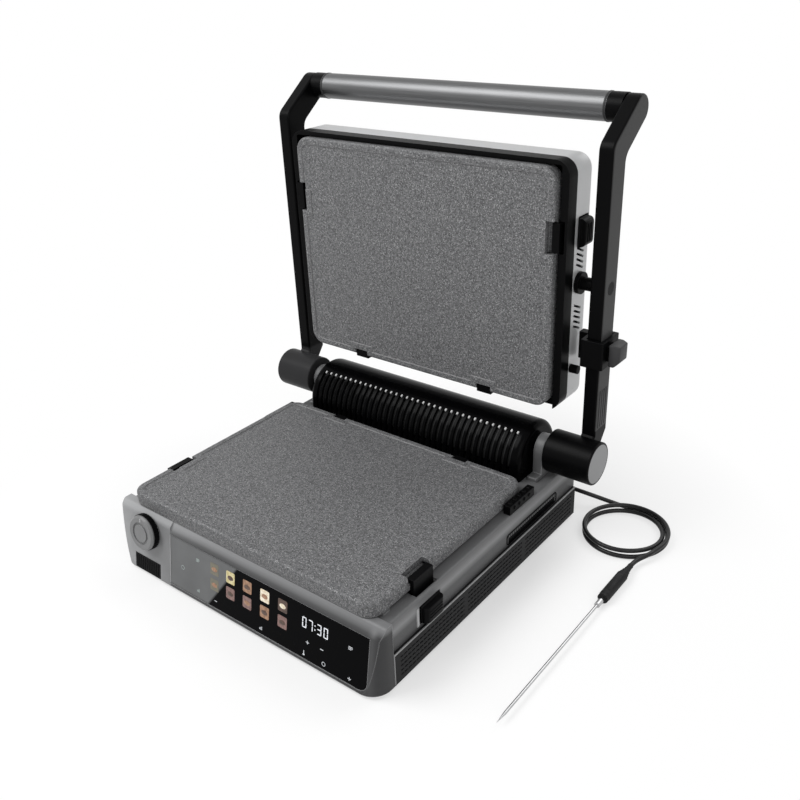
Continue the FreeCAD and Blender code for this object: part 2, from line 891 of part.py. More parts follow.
def fascia_block(over, crest, top, back, inset, x):
    """One stretch of the fascia's section, drawn as an outline and padded along X.

    The leaning face starts a set inset behind the front edge and rises to its top, the apron
    runs from there to the crest, and the open sides run over by a set amount.
    """
    points = [
        (f"-front_reach + {inset} - {over} * tan(lean)", f"foot_rise - {over}"),
        (f"-front_reach + {inset} + ({top} - foot_rise) * tan(lean)", top),
        (back, crest),
        (f"-housing_front + {over}", crest),
        (f"-housing_front + {over}", f"foot_rise - {over}"),
    ]
    return prism("YZ", points, x)


def rounded_plan(inset):
    """The fascia's plan with its two front corners rounded, set in by a formula."""
    solid = box(
        (f"-base_half + {inset}", f"base_half - {inset}"),
        (f"-front_reach + {inset}", "-housing_front + overrun"),
        ("foot_rise - overrun", "fascia_top + overrun"),
    )
    rear = -size("housing_front")
    return rounded(solid, "fascia_corner", lambda edge: parallel(edge, "z") and edge.CenterOfMass.y < rear)


KNOB_PLACE = ("-knob_x", "knob_rise")


def make_fascia():
    """Front fascia: leaning face, sloping apron, and the knob pod on the left."""
    whole = ("-base_half", "base_half")
    rear = -size("housing_front") - size("overrun")
    low = size("rim_top") / 2

    def brow(edge):
        place = edge.CenterOfMass
        return parallel(edge, "x") and place.z > low and place.y < rear

    apron = fascia_block("0", "fascia_top", "apron_low", "-apron_back", "0", whole)
    main = rounded(apron, "fascia_round", brow)
    pod_back = "-front_reach + (fascia_top - foot_rise) * tan(lean) + fascia_round"
    pod_top = "fascia_top - fascia_round"
    pod_x = ("-base_half", "-base_half + pod_width")
    pod = rounded(fascia_block("0", "fascia_top", pod_top, pod_back, "0", pod_x), "fascia_round", brow)
    outer = common(fuse(main, pod), rounded_plan("0"))
    inset = "fascia_wall / cos(lean)"
    under_apron = "-apron_back + fascia_wall / 2"
    ceiling = "fascia_top - fascia_wall"
    hollow = fascia_block("overrun", ceiling, "apron_low - fascia_wall", under_apron, inset, whole)
    inner = common(hollow, rounded_plan("fascia_wall"))
    pocket = on_lean(glass_block("glass_margin", ("-overrun", "glass_inset + glass_thick")))
    window = on_lean(box(
        ("glass_left + glass_ledge", "glass_right - glass_ledge"),
        ("0", "fascia_wall + overrun"),
        ("glass_low + glass_ledge", "glass_high - glass_ledge"),
    ))
    through = ("-overrun", "fascia_wall + overrun")
    knob_hole = on_lean(rod("y", "bush_radius", through, KNOB_PLACE))
    drawer = box(
        ("-tray_left - pull_border - tray_gap", "-tray_right + pull_border + tray_gap"),
        ("-front_reach - overrun", "-housing_front + overrun"),
        ("foot_rise - overrun", "pull_top + tray_gap"),
    )
    return cut(outer, inner, pocket, window, knob_hole, drawer)


def glass_block(margin, depth):
    """The touch glass, or its pocket with a margin, with rounded lower right corner."""
    block = box(
        (f"glass_left - {margin}", f"glass_right + {margin}"),
        depth,
        (f"glass_low - {margin}", f"glass_high + {margin}"),
    )
    middle = size("glass_low") / 2 + size("glass_high") / 2
    return rounded(
        block,
        "glass_corner",
        lambda edge: parallel(edge, "y") and edge.CenterOfMass.x > 0 and edge.CenterOfMass.z < middle,
    )


def make_glass():
    """Black touch glass, set into the fascia."""
    return on_lean(glass_block("0", ("glass_inset", "glass_inset + glass_thick")))


def make_display_board():
    """Display and touch board against the back of the fascia."""
    board = box(
        ("glass_left + glass_ledge / 2", "glass_right - glass_ledge / 2"),
        ("fascia_wall", "fascia_wall + board_thick"),
        ("glass_low + glass_ledge / 2", "glass_high - glass_ledge / 2"),
    )
    return on_lean(board)


def make_knob():
    """Turning knob: skirt, dished face and centre button, bored for its shaft."""
    points = [
        ("0", "-knob_high + shaft_sink"),
        ("0", "-knob_high"),
        ("knob_button_radius", "-knob_high"),
        ("knob_button_radius", "-knob_high + knob_dish_deep"),
        ("knob_dish_radius", "-knob_high + knob_dish_deep"),
        ("knob_dish_radius", "-knob_high"),
        ("knob_radius - knob_edge", "-knob_high"),
        ("knob_radius", "-knob_high + knob_edge"),
        ("knob_radius", "-knob_gap"),
        ("shaft_radius", "-knob_gap"),
        ("shaft_radius", "-knob_high + shaft_sink"),
    ]
    return turned(points)


def on_knob_axis(solid):
    """Move a turned knob piece from the Y axis to the knob's place on the slope."""
    solid.setExpression("Placement.Base.x", link("-knob_x"))
    solid.setExpression("Placement.Base.z", link("knob_rise"))
    return on_lean(solid)


def make_knob_shaft():
    """Shaft between the knob and the encoder."""
    span = ("-knob_high + shaft_sink", "fascia_wall + encoder_deep / 2")
    return on_lean(rod("y", "shaft_radius", span, KNOB_PLACE))


def make_encoder():
    """Rotary encoder behind the fascia, with its bush through the fascia's hole."""
    half = "encoder_size / 2"
    body = box(
        (f"-knob_x - {half}", f"-knob_x + {half}"),
        ("fascia_wall", "fascia_wall + encoder_deep"),
        (f"knob_rise - {half}", f"knob_rise + {half}"),
    )
    bush = rod("y", "bush_radius", ("0", "fascia_wall"), KNOB_PLACE)
    deep = ("-overrun", "fascia_wall + encoder_deep / 2 + shaft_fit")
    bore = rod("y", "shaft_radius + shaft_fit", deep, KNOB_PLACE)
    return on_lean(cut(fuse(body, bush), bore))


def make_tray():
    """Drip tray, an open drawer on two rails."""
    outer = box(
        ("-tray_left", "-tray_right"), ("-tray_front", "-tray_back"), ("cover_top + cover_gap", "tray_top")
    )
    inner = box(
        ("-tray_left + tray_wall", "-tray_right - tray_wall"),
        ("-tray_front + tray_wall", "-tray_back - tray_wall"),
        ("cover_top + cover_gap + tray_wall", "tray_top + overrun"),
    )
    return cut(outer, inner)


def make_tray_front():
    """Ribbed pull on the front of the drip tray, flush with the fascia."""
    points = [
        ("-front_reach + tray_gap * tan(lean)", "foot_rise + tray_gap"),
        ("-front_reach + (pull_top - foot_rise) * tan(lean)", "pull_top"),
        ("-tray_front", "pull_top"),
        ("-tray_front", "foot_rise + tray_gap"),
    ]
    block = prism("YZ", points, ("-tray_left - pull_border", "-tray_right + pull_border"))
    grooves = []
    for index in range(int((size("tray_left") - size("tray_right")) / size("pull_groove_pitch"))):
        x = f"-tray_left + {index} * pull_groove_pitch + pull_groove"
        grooves.append(on_lean(box(
            (x, f"{x} + pull_groove"),
            ("-overrun", "pull_groove"),
            ("pull_border + tray_gap", "(pull_top - foot_rise) / cos(lean) - pull_border"),
        )))
    return cut(block, *grooves)


def make_plate():
    """Cooking plate: flat skin with a skirt, latch notches at the sides and hook steps at the rear."""
    block = box(span_pair("plate_half"), ("-plate_front", "plate_rear"), ("skirt_foot", "plate_top"))
    corners = rounded(block, "plate_corner", lambda edge: parallel(edge, "z"))
    near_top = size("plate_top") - size("plate_gap")
    softened = rounded(corners, "plate_edge", lambda edge: edge.BoundBox.ZMin > near_top)
    inner = "plate_half - plate_wall"
    hollow = rounded(
        box((f"-({inner})", inner), ("-plate_front + plate_wall", "plate_rear - plate_wall"),
            ("skirt_foot - overrun", "skin_under")),
        "plate_corner",
        lambda edge: parallel(edge, "z"),
    )
    solid = cut(softened, hollow)
    width = ("-latch_y - notch_width / 2", "-latch_y + notch_width / 2")
    pad = box(
        ("plate_half - notch_deep - plate_wall", "plate_half - plate_wall / 2"),
        width,
        ("skirt_foot", "skin_under"),
    )
    ledge = []
    for x in ("-hook_x", "hook_x"):
        ledge.append(box(
            (f"{x} - hook_width / 2 - plate_wall", f"{x} + hook_width / 2 + plate_wall"),
            ("plate_rear - hook_step - plate_wall", "plate_rear - plate_wall / 2"),
            ("skirt_foot", "skin_under"),
        ))
    above = ("lug_top", "plate_top + overrun")
    notch = box(("plate_half - notch_deep", "plate_half + overrun"), width, above)
    steps = []
    for x in ("-hook_x", "hook_x"):
        steps.append(box(
            (f"{x} - hook_width / 2 - hook_gap", f"{x} + hook_width / 2 + hook_gap"),
            ("plate_rear - hook_step", "plate_rear + overrun"),
            above,
        ))
    return cut(fuse(solid, pad, mirror_x(pad), *ledge), notch, mirror_x(notch), *steps, plate_well())


def plate_well():
    """The shallow well in a plate's face, with a border that goes round the notches and steps."""
    across = "plate_half - plate_border"
    deep = ("plate_top - plate_well", "plate_top + overrun")
    field = rounded(
        box((f"-({across})", across), ("-plate_front + plate_border", "plate_rear - plate_border"), deep),
        "plate_well_corner",
        lambda edge: parallel(edge, "z"),
    )
    spare = "notch_width / 2 + plate_border"
    side = box(
        ("plate_half - notch_deep - plate_border", "plate_half"),
        (f"-latch_y - {spare}", f"-latch_y + {spare}"),
        deep,
    )
    borders = [side, mirror_x(side)]
    for x in ("-hook_x", "hook_x"):
        borders.append(box(
            (f"{x} - hook_width / 2 - plate_border", f"{x} + hook_width / 2 + plate_border"),
            ("plate_rear - hook_step - plate_border", "plate_rear"),
            deep,
        ))
    return cut(field, *borders)


def make_hooks():
    """Two hooks on the deck that hold down the rear edge of the plate."""
    hooks = []
    for x in ("-hook_x", "hook_x"):
        across = (f"{x} - hook_width / 2", f"{x} + hook_width / 2")
        upright = box(
            across,
            ("plate_rear + hook_gap", "plate_rear + hook_gap + hook_thick"),
            ("rim_top", "hook_lip_high"),
        )
        lip = box(
            across,
            ("plate_rear - hook_step + hook_gap", "plate_rear + hook_gap + hook_thick"),
            ("hook_lip_low", "hook_lip_high"),
        )
        hooks.append(fuse(upright, lip))
    return group(*hooks)


def make_reflector():
    """Reflector pan hung on the rim, with posts that carry the heater."""
    pan = box(
        span_pair("reflector_half"), ("-reflector_front", "reflector_rear"), ("reflector_floor", "rim_top")
    )
    lip = box(
        ("-mouth_half - reflector_lip", "mouth_half + reflector_lip"),
        ("-mouth_front - reflector_lip", "mouth_rear + reflector_lip"),
        ("rim_top", "rim_top + reflector_sheet"),
    )
    inner = box(
        ("-reflector_half + reflector_sheet", "reflector_half - reflector_sheet"),
        ("-reflector_front + reflector_sheet", "reflector_rear - reflector_sheet"),
        ("reflector_floor + reflector_sheet", "rim_top + reflector_sheet + overrun"),
    )
    posts = []
    for side in ("-1.5", "-0.5", "0.5", "1.5"):
        x = f"{side} * heater_leg"
        posts.append(box(
            (f"{x} - clip_half", f"{x} + clip_half"),
            ("-sensor_y - clip_thick / 2", "-sensor_y + clip_thick / 2"),
            ("reflector_floor", "heater_z - heater_radius"),
        ))
    return fuse(cut(fuse(pan, lip), inner), *posts)


def level_arc(centre, radius, start, sweep):
    """An arc in a level plane, from a start angle through a sweep in degrees."""
    def at(angle):
        turn = math.radians(angle)
        return centre + FreeCAD.Vector(radius * math.cos(turn), radius * math.sin(turn), 0)
    return Part.Arc(at(start), at(start + sweep / 2), at(start + sweep)).toShape()


def tube_on(edges, radius):
    """A round solid tube along joined edges."""
    path = Part.Wire(edges)
    start = path.Edges[0].valueAt(path.Edges[0].FirstParameter)
    heading = path.Edges[0].tangentAt(path.Edges[0].FirstParameter)
    section = Part.Wire([Part.Circle(start, heading, radius).toShape()])
    return path.makePipeShell([section], True, False)


def make_heater():
    """Tubular heating element: four straight legs joined by half-round bends."""
    leg = size("heater_leg")
    z = size("heater_z")
    front = -size("heater_front")
    rear = size("heater_rear")
    tail = rear + size("heater_tail")
    bend = leg / 2
    places = [-1.5 * leg, -0.5 * leg, 0.5 * leg, 1.5 * leg]

    def run(x, first, last):
        return Part.LineSegment(FreeCAD.Vector(x, first, z), FreeCAD.Vector(x, last, z)).toShape()

    edges = [
        run(places[0], tail, front),
        level_arc(FreeCAD.Vector(-leg, front, z), bend, 180, 180),
        run(places[1], front, rear - bend),
        level_arc(FreeCAD.Vector(0, rear - bend, z), bend, 180, -180),
        run(places[2], rear - bend, front),
        level_arc(FreeCAD.Vector(leg, front, z), bend, 180, 180),
        run(places[3], front, tail),
    ]
    return coded(tube_on(edges, size("heater_radius")))


def make_sensor():
    """Sprung temperature sensor between the reflector and the plate's underside."""
    span = ("reflector_floor + reflector_sheet", "skin_under - heater_gap")
    return rod("z", "sensor_radius", span, ("0", "-sensor_y"))


def make_mainboard():
    """Power board with its relays, capacitors and transformer."""
    board = box(
        ("-mainboard_left", "mainboard_right"), ("-mainboard_front", "mainboard_rear"),
        ("mainboard_z", "mainboard_z + board_thick"),
    )
    top = "mainboard_z + board_thick"
    parts = []
    for index in range(2):
        x = f"-mainboard_left + part_inset + {index} * relay_pitch"
        y = "-mainboard_front + part_inset"
        parts.append(box((x, f"{x} + relay_size"), (y, f"{y} + relay_size"), (top, f"{top} + relay_high")))
        parts.append(rod(
            "z", "capacitor_radius", (top, f"{top} + capacitor_high"),
            (f"{x} + capacitor_radius", "mainboard_rear - part_inset - capacitor_radius"),
        ))
    right = "mainboard_right - part_inset"
    rear = "mainboard_rear - part_inset"
    parts.append(box(
        (f"{right} - transformer_size", right),
        (f"{rear} - transformer_size", rear),
        (top, f"{top} + transformer_high"),
    ))
    return fuse(board, *parts)


def make_gland():
    """Mains cord gland on the rear wall."""
    inside = "rear_reach - housing_wall - socket_lip"
    place = ("-gland_x", "gland_z")
    barrel = rod("y", "gland_radius", (inside, "rear_reach + gland_proud"), place)
    flange = rod("y", "gland_flange", ("rear_reach", "rear_reach + socket_lip"), place)
    bore = rod("y", "gland_bore", (f"{inside} - overrun", "rear_reach + gland_proud + overrun"), place)
    return cut(fuse(barrel, flange), bore)


def make_jack():
    """Probe socket on the rear wall."""
    barrel = rod("y", "jack_radius", ("rear_reach - jack_deep", "rear_reach"), ("jack_x", "jack_z"))
    flange = rod("y", "jack_flange", ("rear_reach", "rear_reach + socket_lip"), ("jack_x", "jack_z"))
    deep = ("rear_reach + socket_lip - plug_pin_deep - overrun", "rear_reach + socket_lip + overrun")
    bore = rod("y", "jack_bore", deep, ("jack_x", "jack_z"))
    return cut(fuse(barrel, flange), bore)


def make_latch():
    """Right-hand latch: button outside, claw over the plate's lug, one rocker."""
    points = [
        ("button_in", "button_low"),
        ("button_out", "button_low"),
        ("button_out", "button_high"),
        ("web_out", "button_high + window_gap"),
        ("web_out", "claw_high"),
        ("claw_tip", "claw_high"),
        ("claw_tip", "claw_low"),
        ("web_in", "claw_low"),
        ("web_in", "button_high"),
    ]
    width = ("-latch_y - latch_width / 2", "-latch_y + latch_width / 2")
    edge_x = size("button_out") - size("latch_gap")
    rocker = rounded(prism("XZ", points, width), "button_round", lambda edge: edge.BoundBox.XMin > edge_x)
    boss = rod("y", "latch_pin_radius * 2", width, ("pivot_x", "pivot_z"))
    return cut(fuse(rocker, boss), latch_pin("latch_pin_fit"))


def extractor_section(inset, over):
    """The extractor's section in one plane: a half round on upright front and rear walls."""
    radius = size("extractor_radius") - inset
    centre = FreeCAD.Vector(0, size("hinge_y"), size("extractor_z"))
    foot = size("rim_top") - over

    def at(y, z):
        return FreeCAD.Vector(0, y, z)

    front = centre.y - radius
    rear = centre.y + radius
    edges = [
        Part.LineSegment(at(front, foot), at(front, centre.z)).toShape(),
        Part.Arc(at(front, centre.z), at(centre.y, centre.z + radius), at(rear, centre.z)).toShape(),
        Part.LineSegment(at(rear, centre.z), at(rear, foot)).toShape(),
        Part.LineSegment(at(rear, foot), at(front, foot)).toShape(),
    ]
    return Part.Face(Part.Wire(edges))


def extractor_solid(inset, over):
    """The extractor's section run along X between its ends."""
    half = size("extractor_half") - inset
    face = extractor_section(inset, over)
    face.translate(FreeCAD.Vector(-half, 0, 0))
    return coded(face.extrude(FreeCAD.Vector(2 * half, 0, 0)))


def extractor_outside():
    """The extractor's whole outside, with its two ends rounded."""
    foot = size("rim_top") + size("overrun")

    def end_edge(edge):
        return across_x(edge) and edge.BoundBox.ZMax > foot

    return rounded(extractor_solid(0, 0), "extractor_round", end_edge)


EXTRACTOR_BACK = "extractor_rear - extractor_wall"


def make_extractor_cover():
    """Extractor cover with a row of upright intake slots round its front."""
    trim = box(
        ("-extractor_half - overrun", "extractor_half + overrun"),
        (f"{EXTRACTOR_BACK} - extractor_gap", "extractor_rear + overrun"),
        ("rim_top - overrun", "extractor_z + extractor_gap"),
    )
    slots = []
    count = int(size("slot_count"))
    for index in range(count):
        x = f"({index} - {count - 1} / 2) * slot_pitch"
        slots.append(box(
            (f"{x} - slot_wide / 2", f"{x} + slot_wide / 2"),
            ("hinge_y - extractor_radius - overrun", "hinge_y - slot_high"),
            ("extractor_z - slot_low", "extractor_top + overrun"),
        ))
    hollow = extractor_solid(size("extractor_wall"), size("overrun"))
    return cut(extractor_outside(), hollow, trim, *slots)


FAN_AXIS = ("fan_y", "fan_z")
BEARING_THROUGH = ("-frame_x - frame_thick - overrun", "-frame_x + overrun")


def make_extractor_back():
    """Extractor floor, louvred rear wall and the two frames that carry fan and filter."""
    inside = "extractor_half - extractor_wall - extractor_gap"
    floor = box(
        (f"-({inside})", inside),
        ("hinge_y - extractor_radius + extractor_wall + extractor_gap", "extractor_rear - extractor_gap"),
        ("rim_top", "rim_top + extractor_wall"),
    )
    strip = box(
        span_pair("extractor_half"),
        (EXTRACTOR_BACK, "extractor_rear + overrun"),
        ("rim_top", "extractor_z"),
    )
    wall = common(extractor_outside(), strip)
    outlets = []
    count = int(size("outlet_count"))
    for index in range(count):
        x = f"({index} - {count - 1} / 2) * outlet_pitch"
        outlets.append(box(
            (f"{x} - outlet_wide / 2", f"{x} + outlet_wide / 2"),
            (f"{EXTRACTOR_BACK} - overrun", "extractor_rear + overrun"),
            ("outlet_low", "outlet_high"),
        ))
    frames = []
    for low in ("-frame_x - frame_thick", "frame_x"):
        slice_box = box(
            (low, f"{low} + frame_thick"),
            ("hinge_y - extractor_radius", "extractor_rear"),
            ("rim_top", "extractor_top"),
        )
        section = extractor_solid(size("extractor_wall") + size("extractor_gap"), 0)
        frames.append(common(section, slice_box))
    bearing_hole = rod("x", "fan_bearing", BEARING_THROUGH, FAN_AXIS)
    return cut(fuse(floor, wall, *frames), bearing_hole, *outlets)


def make_filter():
    """Curved grease filter between the intake slots and the fan."""
    outer = "extractor_radius - extractor_wall - filter_gap"
    axis = ("hinge_y", "extractor_z")
    tube = cut(
        rod("x", outer, span_pair("frame_x"), axis),
        rod("x", f"{outer} - filter_thick", ("-frame_x - overrun", "frame_x + overrun"), axis),
    )
    front = box(
        span_pair("frame_x"),
        ("hinge_y - extractor_radius", "hinge_y - filter_margin"),
        ("extractor_z", "extractor_top"),
    )
    return common(tube, front)


def make_fan_drum():
    """Cross-flow fan drum: end discs joined by a ring of blades."""
    body = new("PartDesign::Body")

    def disc(low, high):
        sketch = sketch_on(body, "YZ", low)
        circle = Part.Circle(FreeCAD.Vector(), FreeCAD.Vector(0, 0, 1), size("fan_radius"))
        sketch.addGeometry(circle, False)
        sketch.addConstraint(Sketcher.Constraint("Coincident", 0, 3, -1, 1))
        place = sketch.addConstraint(Sketcher.Constraint("Radius", 0, size("fan_radius")))
        sketch.setExpression(f"Constraints[{place}]", link("fan_radius"))
        pad = body.newObject("PartDesign::Pad", "disc")
        pad.Profile = sketch
        pad.setExpression("Length", link(f"({high}) - ({low})"))

    disc("-fan_left", "-fan_left + fan_disc")
    sketch = sketch_on(body, "YZ", "-fan_left")
    draw_outline(sketch, [
        ("fan_radius - fan_blade_deep", "-fan_blade / 2"),
        ("fan_radius - fan_blade", "-fan_blade / 2"),
        ("fan_radius - fan_blade", "fan_blade / 2"),
        ("fan_radius - fan_blade_deep", "fan_blade / 2"),
    ])
    blade = body.newObject("PartDesign::Pad", "blade")
    blade.Profile = sketch
    blade.setExpression("Length", link("fan_left + fan_right"))
    doc.recompute()
    ring = body.newObject("PartDesign::PolarPattern", "blades")
    ring.Originals = [blade]
    ring.Axis = ([item for item in body.Origin.OriginFeatures if item.Role == "X_Axis"][0], [""])
    ring.Angle = 360
    ring.setExpression("Occurrences", link("fan_blades"))
    body.Tip = ring
    disc("fan_right - fan_disc", "fan_right")
    body.setExpression("Placement.Base.y", link("fan_y"))
    body.setExpression("Placement.Base.z", link("fan_z"))
    return cut(body, rod("x", "fan_shaft", ("-fan_left - overrun", "fan_right + overrun"), FAN_AXIS))


def make_hinge_posts():
    """Upright posts on the rear deck that hold the hinge pins."""
    post = box(
        ("post_in", "post_out"), ("hinge_y - post_radius", "hinge_y + post_radius"), ("rim_top", "hinge_z")
    )
    crown = rod("x", "post_radius", ("post_in", "post_out"), ("hinge_y", "hinge_z"))
    foot = box(
        ("post_in", "post_out"),
        ("hinge_y - post_foot", "hinge_y + post_foot"),
        ("rim_top", "rim_top + post_flange"),
    )
    washer = rod("x", "washer_radius", ("post_out", "hub_in - washer_gap"), ("hinge_y", "hinge_z"))
    bore = rod("x", "pin_radius", ("post_in - overrun", "hub_in"), ("hinge_y", "hinge_z"))
    return both_sides(cut(fuse(post, crown, foot, washer), bore))


def make_arm():
    """Right-hand arm: hinge hub, straight arm and the cranked end that carries the grip."""
    mitre = "arm_half * tan(handle_angle / 2)"
    end_y = "arm_half * sin(handle_angle)"
    end_z = "arm_half * cos(handle_angle)"
    points = [
        ("hinge_y", "hinge_z - hub_radius / 2"),
        ("hinge_y - hub_radius", "arm_z - arm_half"),
        (f"bend_y - {mitre}", "arm_z - arm_half"),
        (f"grip_y - {end_y}", f"grip_z - {end_z}"),
        (f"grip_y + {end_y}", f"grip_z + {end_z}"),
        (f"bend_y + {mitre}", "arm_z + arm_half"),
        ("hinge_y - arm_root", "arm_z + arm_half"),
        ("hinge_y + hub_radius / 2", "hinge_z + hub_radius / 2"),
    ]
    bar = prism("YZ", points, ("arm_in", "arm_out"))
    low = size("arm_z") - size("arm_half")
    high = size("arm_z") + size("arm_half")
    bend = size("bend_y")

    def bent(edge):
        place = edge.CenterOfMass
        level = min(abs(place.z - low), abs(place.z - high)) < size("overrun")
        return parallel(edge, "x") and level and abs(place.y - bend) < size("arm_half")

    tip = rod("x", "arm_half", ("arm_in", "arm_out"), ("grip_y", "grip_z"))
    curved = rounded(fuse(rounded(bar, "arm_bend", bent), tip), "arm_edge", across_x)
    barrel = rod("x", "hub_radius", ("hub_in", "hub_out"), ("hinge_y", "hinge_z"))
    hub = rounded(barrel, "hub_edge", across_x)
    bores = [
        rod("x", "pin_radius + pin_fit", ("hub_in - overrun", "pin_end + overrun"), ("hinge_y", "hinge_z")),
        rod("x", "cap_radius", ("hub_out - cap_thick", "hub_out + overrun"), ("hinge_y", "hinge_z")),
        rod("x", "stud_radius + stud_fit", ("arm_in - overrun", "arm_out + overrun"), ("stud_y", "arm_z")),
    ]
    return opened(cut(fuse(curved, hub), *bores))


def make_hinge_caps():
    """Bright discs that close the outer ends of the hinge hubs."""
    return both_sides(rod("x", "cap_radius", ("hub_out - cap_thick", "hub_out"), ("hinge_y", "hinge_z")))


GRIP_AXIS = ("grip_y", "grip_z")


def make_grip_tube():
    """Satin grip tube between the arms."""
    outer = rod("x", "grip_radius", span_pair("grip_half"), GRIP_AXIS)
    through = ("-grip_half - overrun", "grip_half + overrun")
    inner = rod("x", "grip_radius - grip_wall", through, GRIP_AXIS)
    return opened(cut(outer, inner))


def make_grip_ends():
    """Black end pieces that carry the grip tube on the arms."""
    flange = rod("x", "grip_radius", ("grip_half", "arm_in"), GRIP_AXIS)
    spigot = rod("x", "grip_radius - grip_wall", ("grip_half - grip_spigot", "grip_half"), GRIP_AXIS)
    end = opened(fuse(flange, spigot))
    return both_sides(end)


def make_lid_shell():
    """Lid cover: closed top, rounded edges, latch windows and slanted side vents."""
    block = box(span_pair("housing_half"), ("-lid_front", "lid_rear"), ("carrier_high", "lid_top"))
    upright = rounded(block, "lid_corner", lambda edge: parallel(edge, "z"))
    near_top = size("lid_top") - size("lid_wall") / 2
    outer = rounded(upright, "lid_round", lambda edge: edge.BoundBox.ZMin > near_top)
    near_ceiling = size("lid_top") - 2 * size("lid_wall")
    inner = rounded(
        box(
            ("-housing_half + lid_wall", "housing_half - lid_wall"),
            ("-lid_front + lid_wall", "lid_rear - lid_wall"),
            ("carrier_high - overrun", "lid_top - lid_wall"),
        ),
        "lid_round",
        lambda edge: parallel(edge, "z") or edge.BoundBox.ZMin > near_ceiling,
    )
    window = upside_down(latch_openings()[0])
    through = ("housing_half - lid_wall - overrun", "housing_half + overrun")
    stud_hole = rod("x", "stud_radius", through, ("stud_y", "arm_z"))
    stop_hole = rod("x", "stop_radius", through, STOP_PLACE)
    vents = []
    count = int(size("lid_slot_count"))
    for side in (-1, 1):
        for index in range(count):
            y = f"stud_y + {side} * lid_slot_offset + ({index} - {count - 1} / 2) * lid_slot_pitch"
            slot = box(
                through,
                (y, f"{y} + lid_slot_wide"),
                ("lid_slot_z - lid_slot_long / 2", "lid_slot_z + lid_slot_long / 2"),
            )
            slot.Placement.Rotation = FreeCAD.Rotation(FreeCAD.Vector(1, 0, 0), -1)
            slot.setExpression("Placement.Rotation.Angle", link("-lid_slot_slant"))
            vents.append(slot)
    tools = [inner]
    for tool in [window, stud_hole, stop_hole, *vents]:
        tools += [tool, mirror_x(tool)]
    return opened(cut(outer, *tools))


STOP_PLACE = ("hinge_y - stop_reach", "arm_z - stop_drop")


def make_lid_stops():
    """Round stops on the lid's sides, which the height lock's finger meets."""
    span = ("housing_half - lid_wall", "housing_half + stop_long")
    return both_sides(opened(rod("x", "stop_radius", span, STOP_PLACE)))


def make_lid_carrier():
    """Black carrier round the upper plate, open to the rear, with plate seats and latch ears."""
    outer = rounded(
        box(span_pair("housing_half"), ("-lid_front", "lid_rear"), ("carrier_foot", "carrier_high")),
        "lid_corner",
        lambda edge: parallel(edge, "z"),
    )
    well = rounded(
        box(
            ("-housing_half + carrier_ring", "housing_half - carrier_ring"),
            ("-lid_front + plate_wall", "lid_rear + overrun"),
            ("carrier_foot - overrun", "carrier_low"),
        ),
        "plate_edge",
        lambda edge: parallel(edge, "z") and edge.CenterOfMass.y < 0,
    )
    mouth = box(
        span_pair("mouth_half"),
        ("-mouth_front", "mouth_rear"),
        ("carrier_low - overrun", "carrier_high + overrun"),
    )
    slot = box(
        ("claw_tip - window_gap", "housing_half - housing_wall"),
        ("-latch_y - latch_width / 2 - window_gap", "-latch_y + latch_width / 2 + window_gap"),
        ("carrier_foot - overrun", "carrier_high + overrun"),
    )
    ring = cut(outer, well, mouth, slot, mirror_x(slot))
    additions = []
    for ear in latch_ears():
        lifted = upside_down(ear)
        additions += [lifted, mirror_x(lifted)]
    for side in (-1, 1):
        for y in ("-plate_front + plate_corner", "plate_rear - plate_corner - seat_size"):
            additions.append(upside_down(box(
                seat_span(side),
                (y, f"{y} + seat_size"),
                ("rim_top - rim_thick", "skirt_foot"),
            )))
    bore = upside_down(latch_pin("0"))
    return opened(cut(fuse(ring, *additions), bore, mirror_x(bore)))


def make_lid_studs():
    """Studs on the lid's sides that turn in the arms."""
    stud = rod("x", "stud_radius", ("housing_half - lid_wall", "arm_out"), ("stud_y", "arm_z"))
    collar = rod(
        "x", "stud_collar", ("housing_half", "housing_half + stud_collar_thick"), ("stud_y", "arm_z")
    )
    return both_sides(opened(fuse(stud, collar)))


def make_height_lock():
    """Sliding height lock round the right-hand arm: sleeve, thumb tab and inner finger."""
    along = ("lock_y - lock_half", "lock_y + lock_half")
    sleeve = box(
        ("arm_in - lock_gap - lock_wall", "arm_out + lock_gap + lock_wall"),
        along,
        ("arm_z - arm_half - lock_gap - lock_wall", "arm_z + arm_half + lock_gap + lock_wall"),
    )
    tab = box(
        ("arm_out + lock_gap", "lock_tab_out"),
        ("lock_y - lock_tab_half", "lock_y + lock_tab_half"),
        ("arm_z - lock_tab_thick / 2", "arm_z + lock_tab_thick / 2"),
    )
    finger = box(
        ("housing_half + lock_finger_gap", "arm_in - lock_gap"),
        along,
        ("arm_z", "arm_z + lock_finger_thick"),
    )
    bore = box(
        ("arm_in - lock_gap", "arm_out + lock_gap"),
        ("lock_y - lock_half - overrun", "lock_y + lock_half + overrun"),
        ("arm_z - arm_half - lock_gap", "arm_z + arm_half + lock_gap"),
    )
    near_end = size("lock_tab_out") - size("lock_gap")
    soft_sleeve = rounded(sleeve, "lock_round", lambda edge: parallel(edge, "y"))
    soft_tab = rounded(tab, "lock_round", lambda edge: edge.BoundBox.XMin > near_end)
    return opened(cut(fuse(soft_sleeve, soft_tab, finger), bore))


def make_plug():
    """Right-angle probe plug: pin in the socket, body behind the base, relief towards the lead."""
    face = "rear_reach + socket_lip"
    half = "plug_body / 2"
    body = box(
        (f"jack_x - {half}", f"jack_x + {half}"),
        (face, f"{face} + plug_deep"),
        ("jack_z - plug_high / 2", "jack_z + plug_high / 2"),
    )
    softened = rounded(body, "needle_radius", lambda edge: parallel(edge, "z"))
    pin = rod("y", "jack_bore - pin_fit", (f"{face} - plug_pin_deep", face), ("jack_x", "jack_z"))
    span = (f"jack_x + {half} - overrun", "relief_end")
    relief = rod("x", "plug_relief_radius", span, ("plug_y", "jack_z"))
    return fuse(softened, pin, relief)


